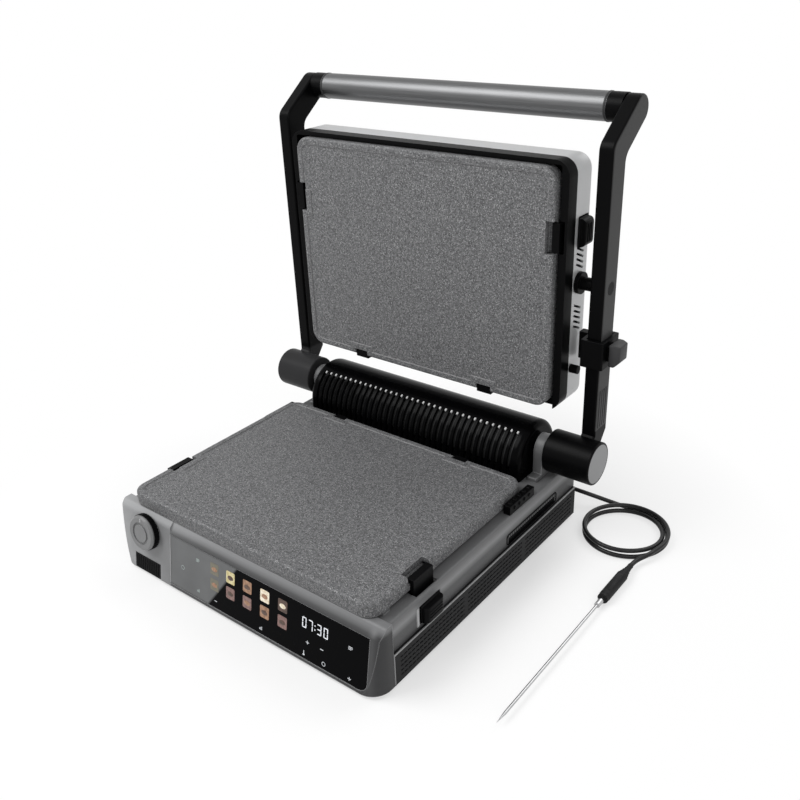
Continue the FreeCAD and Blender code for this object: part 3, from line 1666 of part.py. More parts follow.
def coil_point(turn):
    """A point of the coil's centre line, with its turn counted in degrees from the entry.

    The lead spirals in on the worktop, climbs a layer in the half turn where the
    spiral reverses, and spirals out again on top.
    """
    total = coil_sweep()
    reverse = total / 2
    travel = abs(turn - reverse)
    pitch = size("coil_pitch") / 360
    inner = size("coil_radius") - pitch * reverse
    radius = inner + pitch * travel
    climb = min(max((turn - reverse + 90) / 180, 0), 1)
    angle = math.radians(size("coil_entry_angle") - turn)
    return FreeCAD.Vector(
        size("coil_x") + radius * math.cos(angle),
        size("coil_y") + radius * math.sin(angle),
        size("lead_diameter") / 2 + size("coil_lift") * climb,
    )


def coil_sweep():
    """Degrees that the coil turns through, from its entry to its exit."""
    return 360 * size("coil_turns") + size("coil_entry_angle") + size("coil_exit_angle")


def biarc(start, start_heading, end, end_heading):
    """Two tangent arcs between two points with given headings."""
    gap = end - start
    sum_heading = start_heading + end_heading
    a = 2 * (1 - start_heading.dot(end_heading))
    b = 2 * gap.dot(sum_heading)
    c = -gap.dot(gap)
    reach = (-b + math.sqrt(b * b - 4 * a * c)) / (2 * a)
    joint = (start + start_heading * reach + end - end_heading * reach) * 0.5
    first = Part.Arc(start, arc_middle(start, start_heading, joint), joint)
    last = Part.Arc(joint, arc_middle(end, end_heading * -1, joint), end)
    return [first.toShape(), last.toShape()]


def arc_middle(start, heading, end):
    """The middle point of the arc that leaves a point along a heading and ends at another."""
    chord = end - start
    across = chord - heading * chord.dot(heading)
    half = chord.getAngle(heading) / 2
    side = across.normalize()
    lift = chord.Length / 2 * math.tan(half)
    along = FreeCAD.Vector(chord).normalize()
    normal = (side - along * side.dot(along)).normalize()
    return (start + end) * 0.5 - normal * lift


COIL_STEP = 90


def coil_edges():
    """The coil's centre line as biarcs of about a quarter turn, with short straight ends."""
    total = coil_sweep()
    steps = round(total / COIL_STEP)
    turns = [total * index / steps for index in range(steps + 1)]
    small = total / steps / 90
    points = [coil_point(turn) for turn in turns]
    headings = [(coil_point(turn + small) - coil_point(turn - small)).normalize() for turn in turns]
    headings[0] = FreeCAD.Vector(headings[0].x, headings[0].y, 0).normalize()
    headings[-1] = FreeCAD.Vector(headings[-1].x, headings[-1].y, 0).normalize()
    ahead = points[0] - headings[0] * size("lead_diameter")
    after = points[-1] + headings[-1] * size("lead_diameter")
    edges = [Part.LineSegment(ahead, points[0]).toShape()]
    for index in range(steps):
        edges += biarc(points[index], headings[index], points[index + 1], headings[index + 1])
    edges.append(Part.LineSegment(points[-1], after).toShape())
    return edges


def cord_edges(points):
    """Straight runs joined by tangent arcs, each as large as its two runs allow."""
    edges = []
    radii = []
    start = points[0]
    for before, corner, after in zip(points, points[1:], points[2:]):
        back = (before - corner).normalize()
        on = (after - corner).normalize()
        turn = math.pi - back.getAngle(on)
        trim = RUN_SHARE * min((before - corner).Length, (after - corner).Length)
        radius = trim / math.tan(turn / 2)
        radii.append(round(radius, 1))
        first = corner + back * trim
        last = corner + on * trim
        bisector = (back + on).normalize()
        middle = corner + bisector * (radius / math.cos(turn / 2) - radius)
        edges.append(Part.LineSegment(start, first).toShape())
        edges.append(Part.Arc(first, middle, last).toShape())
        start = last
    edges.append(Part.LineSegment(start, points[-1]).toShape())
    return edges, radii


RUN_SHARE = 0.45
GAP_STEPS = 900
GAP_REACH_SHARE = 0.2


def least_gap(edges, diameter):
    """Least clear gap of a wound tube to itself, measured on points along its centre line."""
    wire = Part.Wire(edges)
    points = wire.discretize(Number=GAP_STEPS)
    skip = int(GAP_STEPS * GAP_REACH_SHARE)
    gaps = []
    for index, point in enumerate(points):
        for other in points[index + skip:]:
            gaps.append((point - other).Length)
    return min(gaps) - diameter


def make_lead_pieces():
    """The probe lead: free run from the plug, coil on the worktop, and tail to the handle."""
    radius = size("lead_diameter") / 2
    coil = coil_edges()
    coil_start = coil[0].valueAt(coil[0].FirstParameter)
    coil_end = coil[-1].valueAt(coil[-1].LastParameter)
    entering = coil[0].tangentAt(coil[0].FirstParameter)
    leaving = coil[-1].tangentAt(coil[-1].LastParameter)
    plug = FreeCAD.Vector(size("relief_end"), size("plug_y"), size("jack_z"))
    handle = FreeCAD.Vector(size("probe_x"), size("probe_rear"), size("probe_radius"))
    from_plug = plug + FreeCAD.Vector(1, 0, 0) * size("lead_step")
    to_coil = coil_start - entering * size("lead_step")
    from_coil = coil_end + leaving * size("tail_step")
    to_handle = handle + FreeCAD.Vector(0, 1, 0) * size("tail_step")
    run_edges, run_radii = cord_edges([plug, from_plug, to_coil, coil_start])
    tail_edges, tail_radii = cord_edges([coil_end, from_coil, to_handle, handle])
    pieces = {}
    for node, edges in (("probe_lead", run_edges), ("probe_coil", coil), ("probe_tail", tail_edges)):
        solid = tube_on(edges, radius)
        length = sum(edge.Length for edge in edges)
        share = solid.Volume / (math.pi * radius**2 * length)
        print(node, "length", round(length, 1), "volume share", round(share, 4))
        pieces[node] = coded(solid)
    print("lead bend radii", run_radii, tail_radii)
    print("coil least gap to itself", round(least_gap(coil, size("lead_diameter")), 2))
    return pieces


def make_probe_handle():
    """Probe handle lying on the worktop, tapered towards its lead."""
    points = [
        ("0", "0"),
        ("0", "-probe_length"),
        ("probe_radius - needle_radius", "-probe_length"),
        ("probe_radius", "-probe_length + needle_radius"),
        ("probe_radius", "-probe_taper"),
        ("lead_diameter", "0"),
    ]
    return at_probe(turned(points), "probe_rear")


def at_probe(solid, y):
    """Move a turned probe piece from the Y axis to the probe's own axis."""
    solid.setExpression("Placement.Base.x", link("probe_x"))
    solid.setExpression("Placement.Base.y", link(y))
    solid.setExpression("Placement.Base.z", link("probe_radius"))
    return solid


def make_needle():
    """Steel needle with its ferrule and point."""
    points = [
        ("0", "0"),
        ("0", "-ferrule_length - needle_length"),
        ("needle_radius", "-ferrule_length - needle_length + needle_point"),
        ("needle_radius", "-ferrule_length"),
        ("ferrule_radius", "-ferrule_length"),
        ("ferrule_radius", "0"),
    ]
    return at_probe(turned(points), "probe_rear - probe_length")


# Base
sub_part("base_housing", make_housing())
sub_part("bottom_cover", make_bottom_cover())
sub_part("feet", make_feet())
sub_part("base_screws", make_base_screws())
side_panel = sub_part("side_panel_right", make_side_panel())
sub_part("side_panel_left", mirror_x(side_panel))
sub_part("rim_guards", make_rim_guards())
sub_part("front_fascia", make_fascia())
sub_part("touch_glass", make_glass())
sub_part("display_board", make_display_board())
sub_part("knob", on_knob_axis(make_knob()))
sub_part("knob_shaft", make_knob_shaft())
sub_part("knob_encoder", make_encoder())
sub_part("drip_tray", make_tray())
sub_part("drip_tray_front", make_tray_front())
plate = sub_part("lower_plate", make_plate())
hooks = sub_part("lower_hooks", make_hooks())
reflector = sub_part("lower_reflector", make_reflector())
heater = sub_part("lower_heater", make_heater())
sensor = sub_part("lower_sensor", make_sensor())
sub_part("power_board", make_mainboard())
sub_part("mains_gland", make_gland())
sub_part("probe_socket", make_jack())
latch = sub_part("latch_lower_right", make_latch())
sub_part("latch_lower_left", mirror_x(latch))
pin = latch_pin("0")
sub_part("latch_lower_pins", both_sides(pin))

# Smoke extractor
sub_part("extractor_cover", make_extractor_cover())
sub_part("extractor_back", make_extractor_back())
sub_part("grease_filter", make_filter())
sub_part("fan_drum", make_fan_drum())
shaft_span = ("-frame_x - frame_thick", "fan_right + motor_gap + motor_sink")
sub_part("fan_shaft", rod("x", "fan_shaft", shaft_span, FAN_AXIS))
motor_can = rod("x", "motor_radius", ("fan_right + motor_gap", "frame_x"), FAN_AXIS)
motor_deep = ("fan_right", "fan_right + motor_gap + motor_sink + shaft_fit")
sub_part("fan_motor", cut(motor_can, rod("x", "fan_shaft + shaft_fit", motor_deep, FAN_AXIS)))
bearing = rod("x", "fan_bearing", ("-frame_x - frame_thick", "-frame_x"), FAN_AXIS)
bearing_bore = rod("x", "fan_shaft + shaft_fit", BEARING_THROUGH, FAN_AXIS)
sub_part("fan_bearing", cut(bearing, bearing_bore))

# Hinge, arms and grip
sub_part("hinge_posts", make_hinge_posts())
hinge_pin = rod("x", "pin_radius", ("post_in", "pin_end"), ("hinge_y", "hinge_z"))
sub_part("hinge_pins", both_sides(hinge_pin))
arm = sub_part("arm_right", make_arm())
sub_part("arm_left", mirror_x(arm))
sub_part("hinge_caps", make_hinge_caps())
sub_part("grip_tube", make_grip_tube())
sub_part("grip_ends", make_grip_ends())
sub_part("height_lock", make_height_lock())

# Lid
sub_part("lid_shell", make_lid_shell())
sub_part("lid_carrier", make_lid_carrier())
sub_part("lid_plate", opened(upside_down(plate)))
sub_part("lid_hooks", opened(upside_down(hooks)))
sub_part("lid_reflector", opened(upside_down(reflector)))
sub_part("lid_heater", opened(upside_down(heater)))
sub_part("lid_sensor", opened(upside_down(sensor)))
sub_part("lid_studs", make_lid_studs())
sub_part("lid_stops", make_lid_stops())
upper_latch = sub_part("latch_upper_right", opened(upside_down(latch)))
sub_part("latch_upper_left", mirror_x(upper_latch))
sub_part("latch_upper_pins", both_sides(opened(upside_down(pin))))

# Meat probe
sub_part("probe_plug", make_plug())
for lead_node, lead_piece in make_lead_pieces().items():
    sub_part(lead_node, lead_piece)
sub_part("probe_handle", make_probe_handle())
sub_part("probe_needle", make_needle())

doc.recompute()

faults = []
for item in doc.Objects:
    if {"Invalid", "Error"} & set(item.State):
        faults.append(f"{item.Label}: {item.State}")
for node, item in SUB_PARTS.items():
    if item.Shape.isNull() or not item.Shape.isValid() or not item.Shape.Solids:
        faults.append(f"{node}: no valid solid")
if faults:
    raise RuntimeError("; ".join(faults))

os.makedirs("parts", exist_ok=True)
for node, item in SUB_PARTS.items():
    item.Shape.exportStep(f"parts/{node}.step")
print(len(SUB_PARTS), "sub-parts written")
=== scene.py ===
"""Looks of the smokeless contact grill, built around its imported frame.

The CAD nodes carry the main shapes. This script gives them procedural finishes, adds the small
pieces that the solids leave out, lays the probe's cord, and sets the studio and the camera.
Pieces are drawn in millimetres, finishes and studio in metres, in the frame's own axes.
"""

import json
import logging
import math
from dataclasses import dataclass
from enum import Enum
from typing import Callable, Sequence

import bpy
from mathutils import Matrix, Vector

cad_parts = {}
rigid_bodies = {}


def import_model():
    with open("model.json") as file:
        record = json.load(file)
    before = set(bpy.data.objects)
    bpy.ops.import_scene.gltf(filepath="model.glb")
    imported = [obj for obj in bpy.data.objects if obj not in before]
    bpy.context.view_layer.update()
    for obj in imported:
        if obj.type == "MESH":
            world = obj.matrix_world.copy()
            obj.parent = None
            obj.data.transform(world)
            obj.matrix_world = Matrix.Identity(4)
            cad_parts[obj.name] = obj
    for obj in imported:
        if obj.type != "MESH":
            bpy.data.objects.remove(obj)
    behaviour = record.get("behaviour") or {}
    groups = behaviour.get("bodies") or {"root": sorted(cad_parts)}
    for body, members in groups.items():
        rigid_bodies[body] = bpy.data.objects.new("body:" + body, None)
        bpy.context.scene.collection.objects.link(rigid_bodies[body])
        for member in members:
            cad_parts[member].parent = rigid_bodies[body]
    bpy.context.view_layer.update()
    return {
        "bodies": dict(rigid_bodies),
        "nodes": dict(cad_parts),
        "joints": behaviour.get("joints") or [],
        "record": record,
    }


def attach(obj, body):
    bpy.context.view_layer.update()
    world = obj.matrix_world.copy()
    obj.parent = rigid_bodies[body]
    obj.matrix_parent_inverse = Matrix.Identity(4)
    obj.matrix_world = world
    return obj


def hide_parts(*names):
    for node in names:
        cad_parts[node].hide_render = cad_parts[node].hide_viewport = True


Piece = bpy.types.Object
Socket = bpy.types.NodeSocket
Test = Callable[[Vector, Vector], bool]
Span = tuple[float, float]
Triple = tuple[float, float, float]

LOG = logging.getLogger("grill")
MM = 0.001
MERGE = 1e-6
# Cosine above which a direction follows another, and the one below which it crosses it.
STRAIGHT = 0.9
ACROSS = 0.5
# Lean of the fascia, and the foot of its slope.
PANEL_LEAN = math.radians(10.0)
PANEL_FOOT = (0.0, -175 * MM, 3 * MM)
# Span that most values of a noise lie in, and the cosines that tell a flat from an edge.
NOISE = (0.3, 0.7)
ON_EDGE = (0.995, 0.75)
WHITE = (1.0, 1.0, 1.0, 1.0)


class Pick(Enum):
    """The kinds of mesh element that a move can act on."""

    POINTS = "VERT"
    EDGES = "EDGE"
    FACES = "FACE"


class Axis(Enum):
    """The frame's directions, as unit vectors."""

    X = (1.0, 0.0, 0.0)
    Y = (0.0, 1.0, 0.0)
    Z = (0.0, 0.0, 1.0)

    @property
    def vector(self) -> Vector:
        """The direction as a vector."""
        return Vector(self.value)

    @property
    def turn(self) -> Triple:
        """The rotation that lays a piece made along Z onto this direction."""
        turns = {"X": (0.0, math.pi / 2, 0.0), "Y": (-math.pi / 2, 0.0, 0.0), "Z": (0.0, 0.0, 0.0)}
        return turns[self.name]


def along(axis: Axis) -> Test:
    """Test whether an edge or a normal follows a direction, either way."""
    return lambda place, way: abs(way.dot(axis.vector)) > STRAIGHT


def facing(outward: Vector) -> Test:
    """Test whether a face looks in a direction."""
    return lambda place, way: way.dot(outward) > STRAIGHT


def past(axis: Axis, level: float) -> Test:
    """Test whether an element lies past a level."""
    return lambda place, way: place.dot(axis.vector) > level


def rim(axis: Axis, level: float) -> Test:
    """Test whether an edge lies past a level and runs across the axis."""
    return lambda place, way: place.dot(axis.vector) > level and abs(way.dot(axis.vector)) < ACROSS


def each(*tests: Test) -> Test:
    """Test whether several tests hold together."""
    return lambda place, way: all(test(place, way) for test in tests)


class Bench:
    """Modelling moves, each made with Blender's own operators."""

    @staticmethod
    def clear() -> None:
        """Leave edit mode and select nothing."""
        if bpy.context.object is not None and bpy.context.object.mode != "OBJECT":
            bpy.ops.object.mode_set(mode="OBJECT")
        bpy.ops.object.select_all(action="DESELECT")

    @staticmethod
    def take(piece: Piece) -> None:
        """Make one piece the only selected and active one.

        Args:
            piece: the piece to take.
        """
        Bench.clear()
        piece.select_set(True)
        bpy.context.view_layer.objects.active = piece

    @staticmethod
    def settle(name: str) -> Piece:
        """Name the active piece and put its place and size into its mesh.

        Args:
            name: the piece's name.

        Returns:
            The piece.
        """
        piece = bpy.context.object
        piece.name = name
        piece.data.name = name
        bpy.ops.object.transform_apply(location=True, rotation=True, scale=True)
        return piece

    @staticmethod
    def block(name: str, low: Sequence[float], high: Sequence[float]) -> Piece:
        """Start a piece from a block between two corners.

        Args:
            name: the piece's name.
            low: lowest corner.
            high: highest corner.

        Returns:
            The new piece.
        """
        Bench.clear()
        near, far = Vector(low) * MM, Vector(high) * MM
        bpy.ops.mesh.primitive_cube_add(size=1.0, location=(near + far) / 2)
        bpy.context.object.scale = far - near
        return Bench.settle(name)

    @staticmethod
    def drum(
        name: str, radius: float, start: Sequence[float], length: float, axis: Axis, sides: int
    ) -> Piece:
        """Start a piece from a round bar.

        Args:
            name: the piece's name.
            radius: radius of the bar.
            start: middle of the end that the axis points away from.
            length: length along the axis.
            axis: direction of the bar.
            sides: number of flats round it.

        Returns:
            The new piece.
        """
        Bench.clear()
        middle = (Vector(start) + axis.vector * length / 2) * MM
        bpy.ops.mesh.primitive_cylinder_add(
            vertices=sides,
            radius=radius * MM,
            depth=length * MM,
            location=middle,
            rotation=axis.turn,
        )
        return Bench.settle(name)

    @staticmethod
    def pick(piece: Piece, kind: Pick, test: Test) -> None:
        """Open edit mode with the elements selected for which a test holds.

        Args:
            piece: the piece to work on.
            kind: kind of element.
            test: takes an element's middle, and its normal or direction.
        """
        Bench.take(piece)
        bpy.ops.object.mode_set(mode="EDIT")
        bpy.ops.mesh.select_mode(type=kind.value)
        bpy.ops.mesh.select_all(action="DESELECT")
        bpy.ops.object.mode_set(mode="OBJECT")
        mesh = piece.data
        points = mesh.vertices
        if kind is Pick.FACES:
            for face in mesh.polygons:
                face.select = test(face.center / MM, face.normal)
        elif kind is Pick.EDGES:
            for edge in mesh.edges:
                one, two = (points[index].co for index in edge.vertices)
                edge.select = test((one + two) / 2 / MM, (two - one).normalized())
        else:
            for point in points:
                point.select = test(point.co / MM, point.normal)
        bpy.ops.object.mode_set(mode="EDIT")

    @staticmethod
    def bevel(piece: Piece, test: Test, width: float, steps: int = 2) -> Piece:
        """Round the edges for which a test holds.

        Args:
            piece: the piece to work on.
            test: takes an edge's middle and its direction.
            width: width of the rounding.
            steps: facets across it.

        Returns:
            The piece.
        """
        Bench.pick(piece, Pick.EDGES, test)
        bpy.ops.mesh.bevel(
            offset=width * MM, segments=steps, profile=0.5, affect="EDGES", clamp_overlap=True
        )
        Bench.clear()
        return piece

    @staticmethod
    def stepped(piece: Piece, outward: Vector, moves: Sequence[Span]) -> None:
        """Inset the faces that look one way and draw them out, step by step.

        Args:
            piece: the piece to work on.
            outward: the way that the faces look.
            moves: pairs of an inset and a rise.
        """
        Bench.pick(piece, Pick.FACES, facing(outward))
        for inset, rise in moves:
            if inset:
                bpy.ops.mesh.inset(thickness=inset * MM, depth=0.0)
            if rise:
                move = outward * rise * MM
                bpy.ops.mesh.extrude_region_move(TRANSFORM_OT_translate={"value": move})
        Bench.clear()

    @staticmethod
    def copy(piece: Piece, name: str, shift: Sequence[float]) -> Piece:
        """Copy a piece with its own mesh.

        Args:
            piece: the piece to copy.
            name: the copy's name.
            shift: how far the copy is moved.

        Returns:
            The copy.
        """
        Bench.take(piece)
        bpy.ops.object.duplicate()
        bpy.ops.transform.translate(value=Vector(shift) * MM)
        return Bench.settle(name)

    @staticmethod
    def mirror(piece: Piece, name: str) -> Piece:
        """Copy a piece to the other side of the middle plane.

        Args:
            piece: the right-hand piece.
            name: the copy's name.

        Returns:
            The left-hand copy.
        """
        Bench.take(piece)
        bpy.ops.object.duplicate()
        bpy.context.object.scale = (-1.0, 1.0, 1.0)
        copy = Bench.settle(name)
        Bench.pick(copy, Pick.POINTS, lambda place, way: True)
        bpy.ops.mesh.remove_doubles(threshold=MERGE)
        bpy.ops.mesh.normals_make_consistent(inside=False)
        Bench.clear()
        return copy

    @staticmethod
    def join(name: str, pieces: Sequence[Piece]) -> Piece:
        """Join pieces into one.

        Args:
            name: name of the joined piece.
            pieces: what is joined.

        Returns:
            The joined piece.
        """
        Bench.take(pieces[0])
        for piece in pieces[1:]:
            piece.select_set(True)
        bpy.ops.object.join()
        return Bench.settle(name)

    @staticmethod
    def row(
        name: str, first: Piece, step: Sequence[float], count: int, ahead: Sequence[Piece] = ()
    ) -> Piece:
        """Repeat a piece along a line and join it all.

        Args:
            name: name of the joined piece.
            first: the piece that is repeated.
            step: move from one to the next.
            count: how many there are.
            ahead: other pieces that come first in the joined one.

        Returns:
            The joined piece.
        """
        copies = [Bench.copy(first, "row_copy", Vector(step) * index) for index in range(1, count)]
        return Bench.join(name, [*ahead, first, *copies])

    @staticmethod
    def onto_panel(piece: Piece) -> Piece:
        """Stand a piece drawn on an upright panel onto the leaning fascia.

        Args:
            piece: drawn with x along the panel, z up its slope and y into the base.

        Returns:
            The piece.
        """
        Bench.take(piece)
        piece.rotation_euler = (-PANEL_LEAN, 0.0, 0.0)
        piece.location = PANEL_FOOT
        return Bench.settle(piece.name)


def toned(colour: Triple, share: float) -> Triple:
    """A colour made lighter or darker."""
    return tuple(min(part * share, 1.0) for part in colour)


class Tree:
    """A tree of shader nodes."""

    def __init__(self, owner: bpy.types.Material | bpy.types.World) -> None:
        """Start with no nodes.

        Args:
            owner: the material or world that the tree belongs to.
        """
        owner.use_nodes = True
        self.nodes, self.links = owner.node_tree.nodes, owner.node_tree.links
        self.nodes.clear()

    def fill(self, node: bpy.types.Node, inputs: dict[str | int, object]) -> None:
        """Wire or set the inputs of a node.

        Args:
            node: the node.
            inputs: a socket or a constant for each input, by its name or number.
        """
        for name, given in inputs.items():
            if isinstance(given, Socket):
                self.links.new(given, node.inputs[name])
            else:
                node.inputs[name].default_value = given

    def add(self, kind: str, inputs: dict[str | int, object], **settings: object) -> bpy.types.Node:
        """Add a node.

        Args:
            kind: its type.
            inputs: what it is filled with.
            settings: its own properties.

        Returns:
            The node.
        """
        node = self.nodes.new(kind)
        for name, setting in settings.items():
            setattr(node, name, setting)
        self.fill(node, inputs)
        return node

    def maths(self, operation: str, *values: Socket) -> Socket:
        """Work out one value from others."""
        return self.add("ShaderNodeMath", dict(enumerate(values)), operation=operation).outputs[0]

    def dot(self, one: Socket, two: Socket | Triple) -> Socket:
        """The dot product of two vectors."""
        node = self.add("ShaderNodeVectorMath", {0: one, 1: two}, operation="DOT_PRODUCT")
        return node.outputs["Value"]

    def seen(self) -> Socket:
        """Tell whether a ray comes from the camera, a reflection or clear material.

        Returns:
            1 for such a ray, otherwise 0.
        """
        path = self.add("ShaderNodeLightPath", {}).outputs
        shown = self.maths("MAXIMUM", path["Is Camera Ray"], path["Is Glossy Ray"])
        return self.maths("MAXIMUM", shown, path["Is Transmission Ray"])


class Surface(Tree):
    """A material's nodes, with short calls for those that the finishes use."""

    def __init__(self, name: str) -> None:
        """Start a material with a principled shader.

        Args:
            name: the material's name.
        """
        self.material = bpy.data.materials.new(name)
        super().__init__(self.material)
        self.shader = self.add("ShaderNodeBsdfPrincipled", {})
        self.output = self.add("ShaderNodeOutputMaterial", {"Surface": self.shader.outputs["BSDF"]})
        self.place = self.add("ShaderNodeTexCoord", {}).outputs["Object"]

    def feed(self, **inputs: Socket | float | tuple) -> None:
        """Wire or set the shader's inputs by name, with underscores for spaces."""
        self.fill(self.shader, {name.replace("_", " "): given for name, given in inputs.items()})

    def mapped(self, scale: Triple = (1, 1, 1), shift: Triple = (0, 0, 0)) -> Socket:
        """Object coordinates, stretched and moved."""
        inputs = {"Vector": self.place, "Location": shift, "Scale": scale}
        return self.add("ShaderNodeMapping", inputs).outputs["Vector"]

    def split(self) -> dict[str, Socket]:
        """The object coordinates one by one, as X, Y and Z."""
        return dict(self.add("ShaderNodeSeparateXYZ", {0: self.place}).outputs.items())

    def noise(self, scale: float, detail: float = 2.0, coords: Socket | None = None) -> Socket:
        """Soft random values about one half, by spots to a metre and a number of finer layers."""
        inputs = {"Vector": coords or self.place, "Scale": scale, "Detail": detail}
        return self.add("ShaderNodeTexNoise", inputs).outputs["Fac"]

    def spread(
        self, source: Socket, low: float, high: float, first: float = 0.0, last: float = 1.0
    ) -> Socket:
        """Map the values from low to high onto those from first to last."""
        inputs = {
            "Value": source, "From Min": low, "From Max": high, "To Min": first, "To Max": last,
        }
        return self.add("ShaderNodeMapRange", inputs).outputs["Result"]

    def ramp(self, source: Socket, stops: Sequence[tuple[float, Triple]]) -> Socket:
        """Turn values into colours.

        Args:
            source: values from 0 to 1.
            stops: places and colours along the way.

        Returns:
            The colours.
        """
        node = self.add("ShaderNodeValToRGB", {"Fac": source})
        marks = node.color_ramp.elements
        while len(marks) < len(stops):
            marks.new(1.0)
        for mark, (place, colour) in zip(marks, stops):
            mark.position = place
            mark.color = (*colour, 1.0)
        return node.outputs["Color"]

    def mottled(
        self, source: Socket, colour: Triple, less: float, more: float, span: Span = NOISE
    ) -> Socket:
        """A colour that a noise makes darker and lighter, from one end of its span to the other."""
        return self.ramp(source, [(span[0], toned(colour, less)), (span[1], toned(colour, more))])

    def varied(self, source: Socket, value: float, share: float, span: Span = NOISE) -> Socket:
        """A value that a noise makes smaller and larger by a share."""
        return self.spread(source, *span, value * (1 - share), value * (1 + share))

    def mixed(self, share: Socket, first: Socket | Triple, second: Socket | Triple) -> Socket:
        """Mix two colours by a share that varies over the surface.

        Args:
            share: how much of the second colour shows.
            first: a colour, plain or from nodes.
            second: a colour, plain or from nodes.

        Returns:
            The mixed colour.
        """
        inputs = {0: share, 6: first, 7: second}
        for name, given in inputs.items():
            inputs[name] = (*given, 1.0) if isinstance(given, tuple) else given
        return self.add("ShaderNodeMix", inputs, data_type="RGBA").outputs[2]

    def soft(self, radius: float) -> Socket:
        """Normals that round off sharp edges, to a radius in millimetres."""
        return self.add("ShaderNodeBevel", {"Radius": radius * MM}, samples=4).outputs["Normal"]

    def edges(self, normals: Socket) -> Socket:
        """How far softened normals depart from the plain ones, from 0 on flats to 1 on edges."""
        plain = self.add("ShaderNodeNewGeometry", {}).outputs["Normal"]
        return self.spread(self.dot(normals, plain), *ON_EDGE)

    def bumped(self, height: Socket, depth: float, strength: float, normals: Socket) -> None:
        """Give the shader a fine relief.

        Args:
            height: the relief, from 0 to 1.
            depth: its depth in millimetres.
            strength: how strongly it shows.
            normals: softened normals to start from.
        """
        inputs = {"Height": height, "Distance": depth * MM, "Strength": strength, "Normal": normals}
        self.feed(Normal=self.add("ShaderNodeBump", inputs).outputs["Normal"])


@dataclass(frozen=True)
class Finish:
    """A named look with a material of its own."""

    name: str

    def build(self) -> bpy.types.Material:
        """Build the look.

        Returns:
            Its material.
        """
        tree = Surface(self.name)
        self.wire(tree)
        return tree.material

    def wire(self, tree: Surface) -> None:
        """Wire the look into a new tree, as each kind of finish does in its own way."""
        raise NotImplementedError


@dataclass(frozen=True)
class Moulded(Finish):
    """Moulded or coated surface: a soft mottle, a fine grain, and lighter edges that are part worn
    and part painted highlight.
    """

    colour: Triple
    roughness: float
    grain: float
    depth: float
    edge: float
    wear_and_highlight: float
    gloss: float
    metallic: float = 0.0
    mottle: float = 0.12
    patches: Span = (38.0, 4.0)
    clouds: Span = (60.0, 3.0)
    cloud_share: float = 0.2
    unevenness: float = 0.15
    relief: float = 0.5

    def wire(self, tree: Surface) -> None:
        """Wire the mottle, the edges and the grain.

        Args:
            tree: the new tree.
        """
        patches, less, more = tree.noise(*self.patches), 1 - self.mottle, 1 + self.mottle
        body = self.tinted(tree, tree.mottled(patches, self.colour, less, more))
        normals = tree.soft(self.edge)
        grain = tree.noise(self.grain)
        tree.feed(
            Metallic=self.metallic,
            Specular_IOR_Level=self.gloss,
            # Lighter edges: part worn edges, part painted highlight on rounded edges.
            Base_Color=tree.mixed(tree.edges(normals), body, toned(self.colour, self.wear_and_highlight)),
            Roughness=tree.varied(grain, self.roughness, self.unevenness),
        )
        tree.bumped(grain, self.depth, self.relief, normals)

    def tinted(self, tree: Surface, body: Socket) -> Socket:
        """The colour as it is; other finishes lay a second colour, painted light and painted shade
        over it.
        """
        return body

    def clouded(self, tree: Surface, shade: Socket, body: Socket) -> Socket:
        """Let some of the mottled colour show through the painted light and shade in soft clouds.
        """
        clouds = tree.spread(tree.noise(*self.clouds), *NOISE, 0.0, self.cloud_share)
        return tree.mixed(clouds, shade, body)


@dataclass(frozen=True)
class TwoToneAndPaintedHighlight(Moulded):
    """Moulded surface with a second colour on its outer faces, and a painted highlight lightening
    its left foot, the left hinge hub.
    """

    second: Triple = (0.05, 0.05, 0.05)
    # Colour of the painted highlight on the left hinge hub.
    left_hub_highlight: Triple = (0.03, 0.03, 0.031)
    outer: Span = (0.1874, 0.1878)
    upper: Span = (0.116, 0.1165)
    left: Span = (-0.1, -0.101)
    foot: Span = (0.116, 0.113)

    def tinted(self, tree: Surface, body: Socket) -> Socket:
        """Lay the second colour over the upper outer faces, and the painted highlight over the left
        foot, the left hinge hub.

        Args:
            tree: the tree being wired.
            body: the colour so far.

        Returns:
            The colour with the others over it.
        """
        split = tree.split()
        outer = tree.spread(tree.maths("ABSOLUTE", split["X"]), *self.outer)
        upper = tree.spread(split["Z"], *self.upper)
        left = tree.spread(split["X"], *self.left)
        foot = tree.spread(split["Z"], *self.foot)
        # Painted highlight on the left arm's foot, the left hinge hub.
        body = tree.mixed(tree.maths("MULTIPLY", left, foot), body, self.left_hub_highlight)
        return tree.mixed(tree.maths("MULTIPLY", outer, upper), body, self.second)


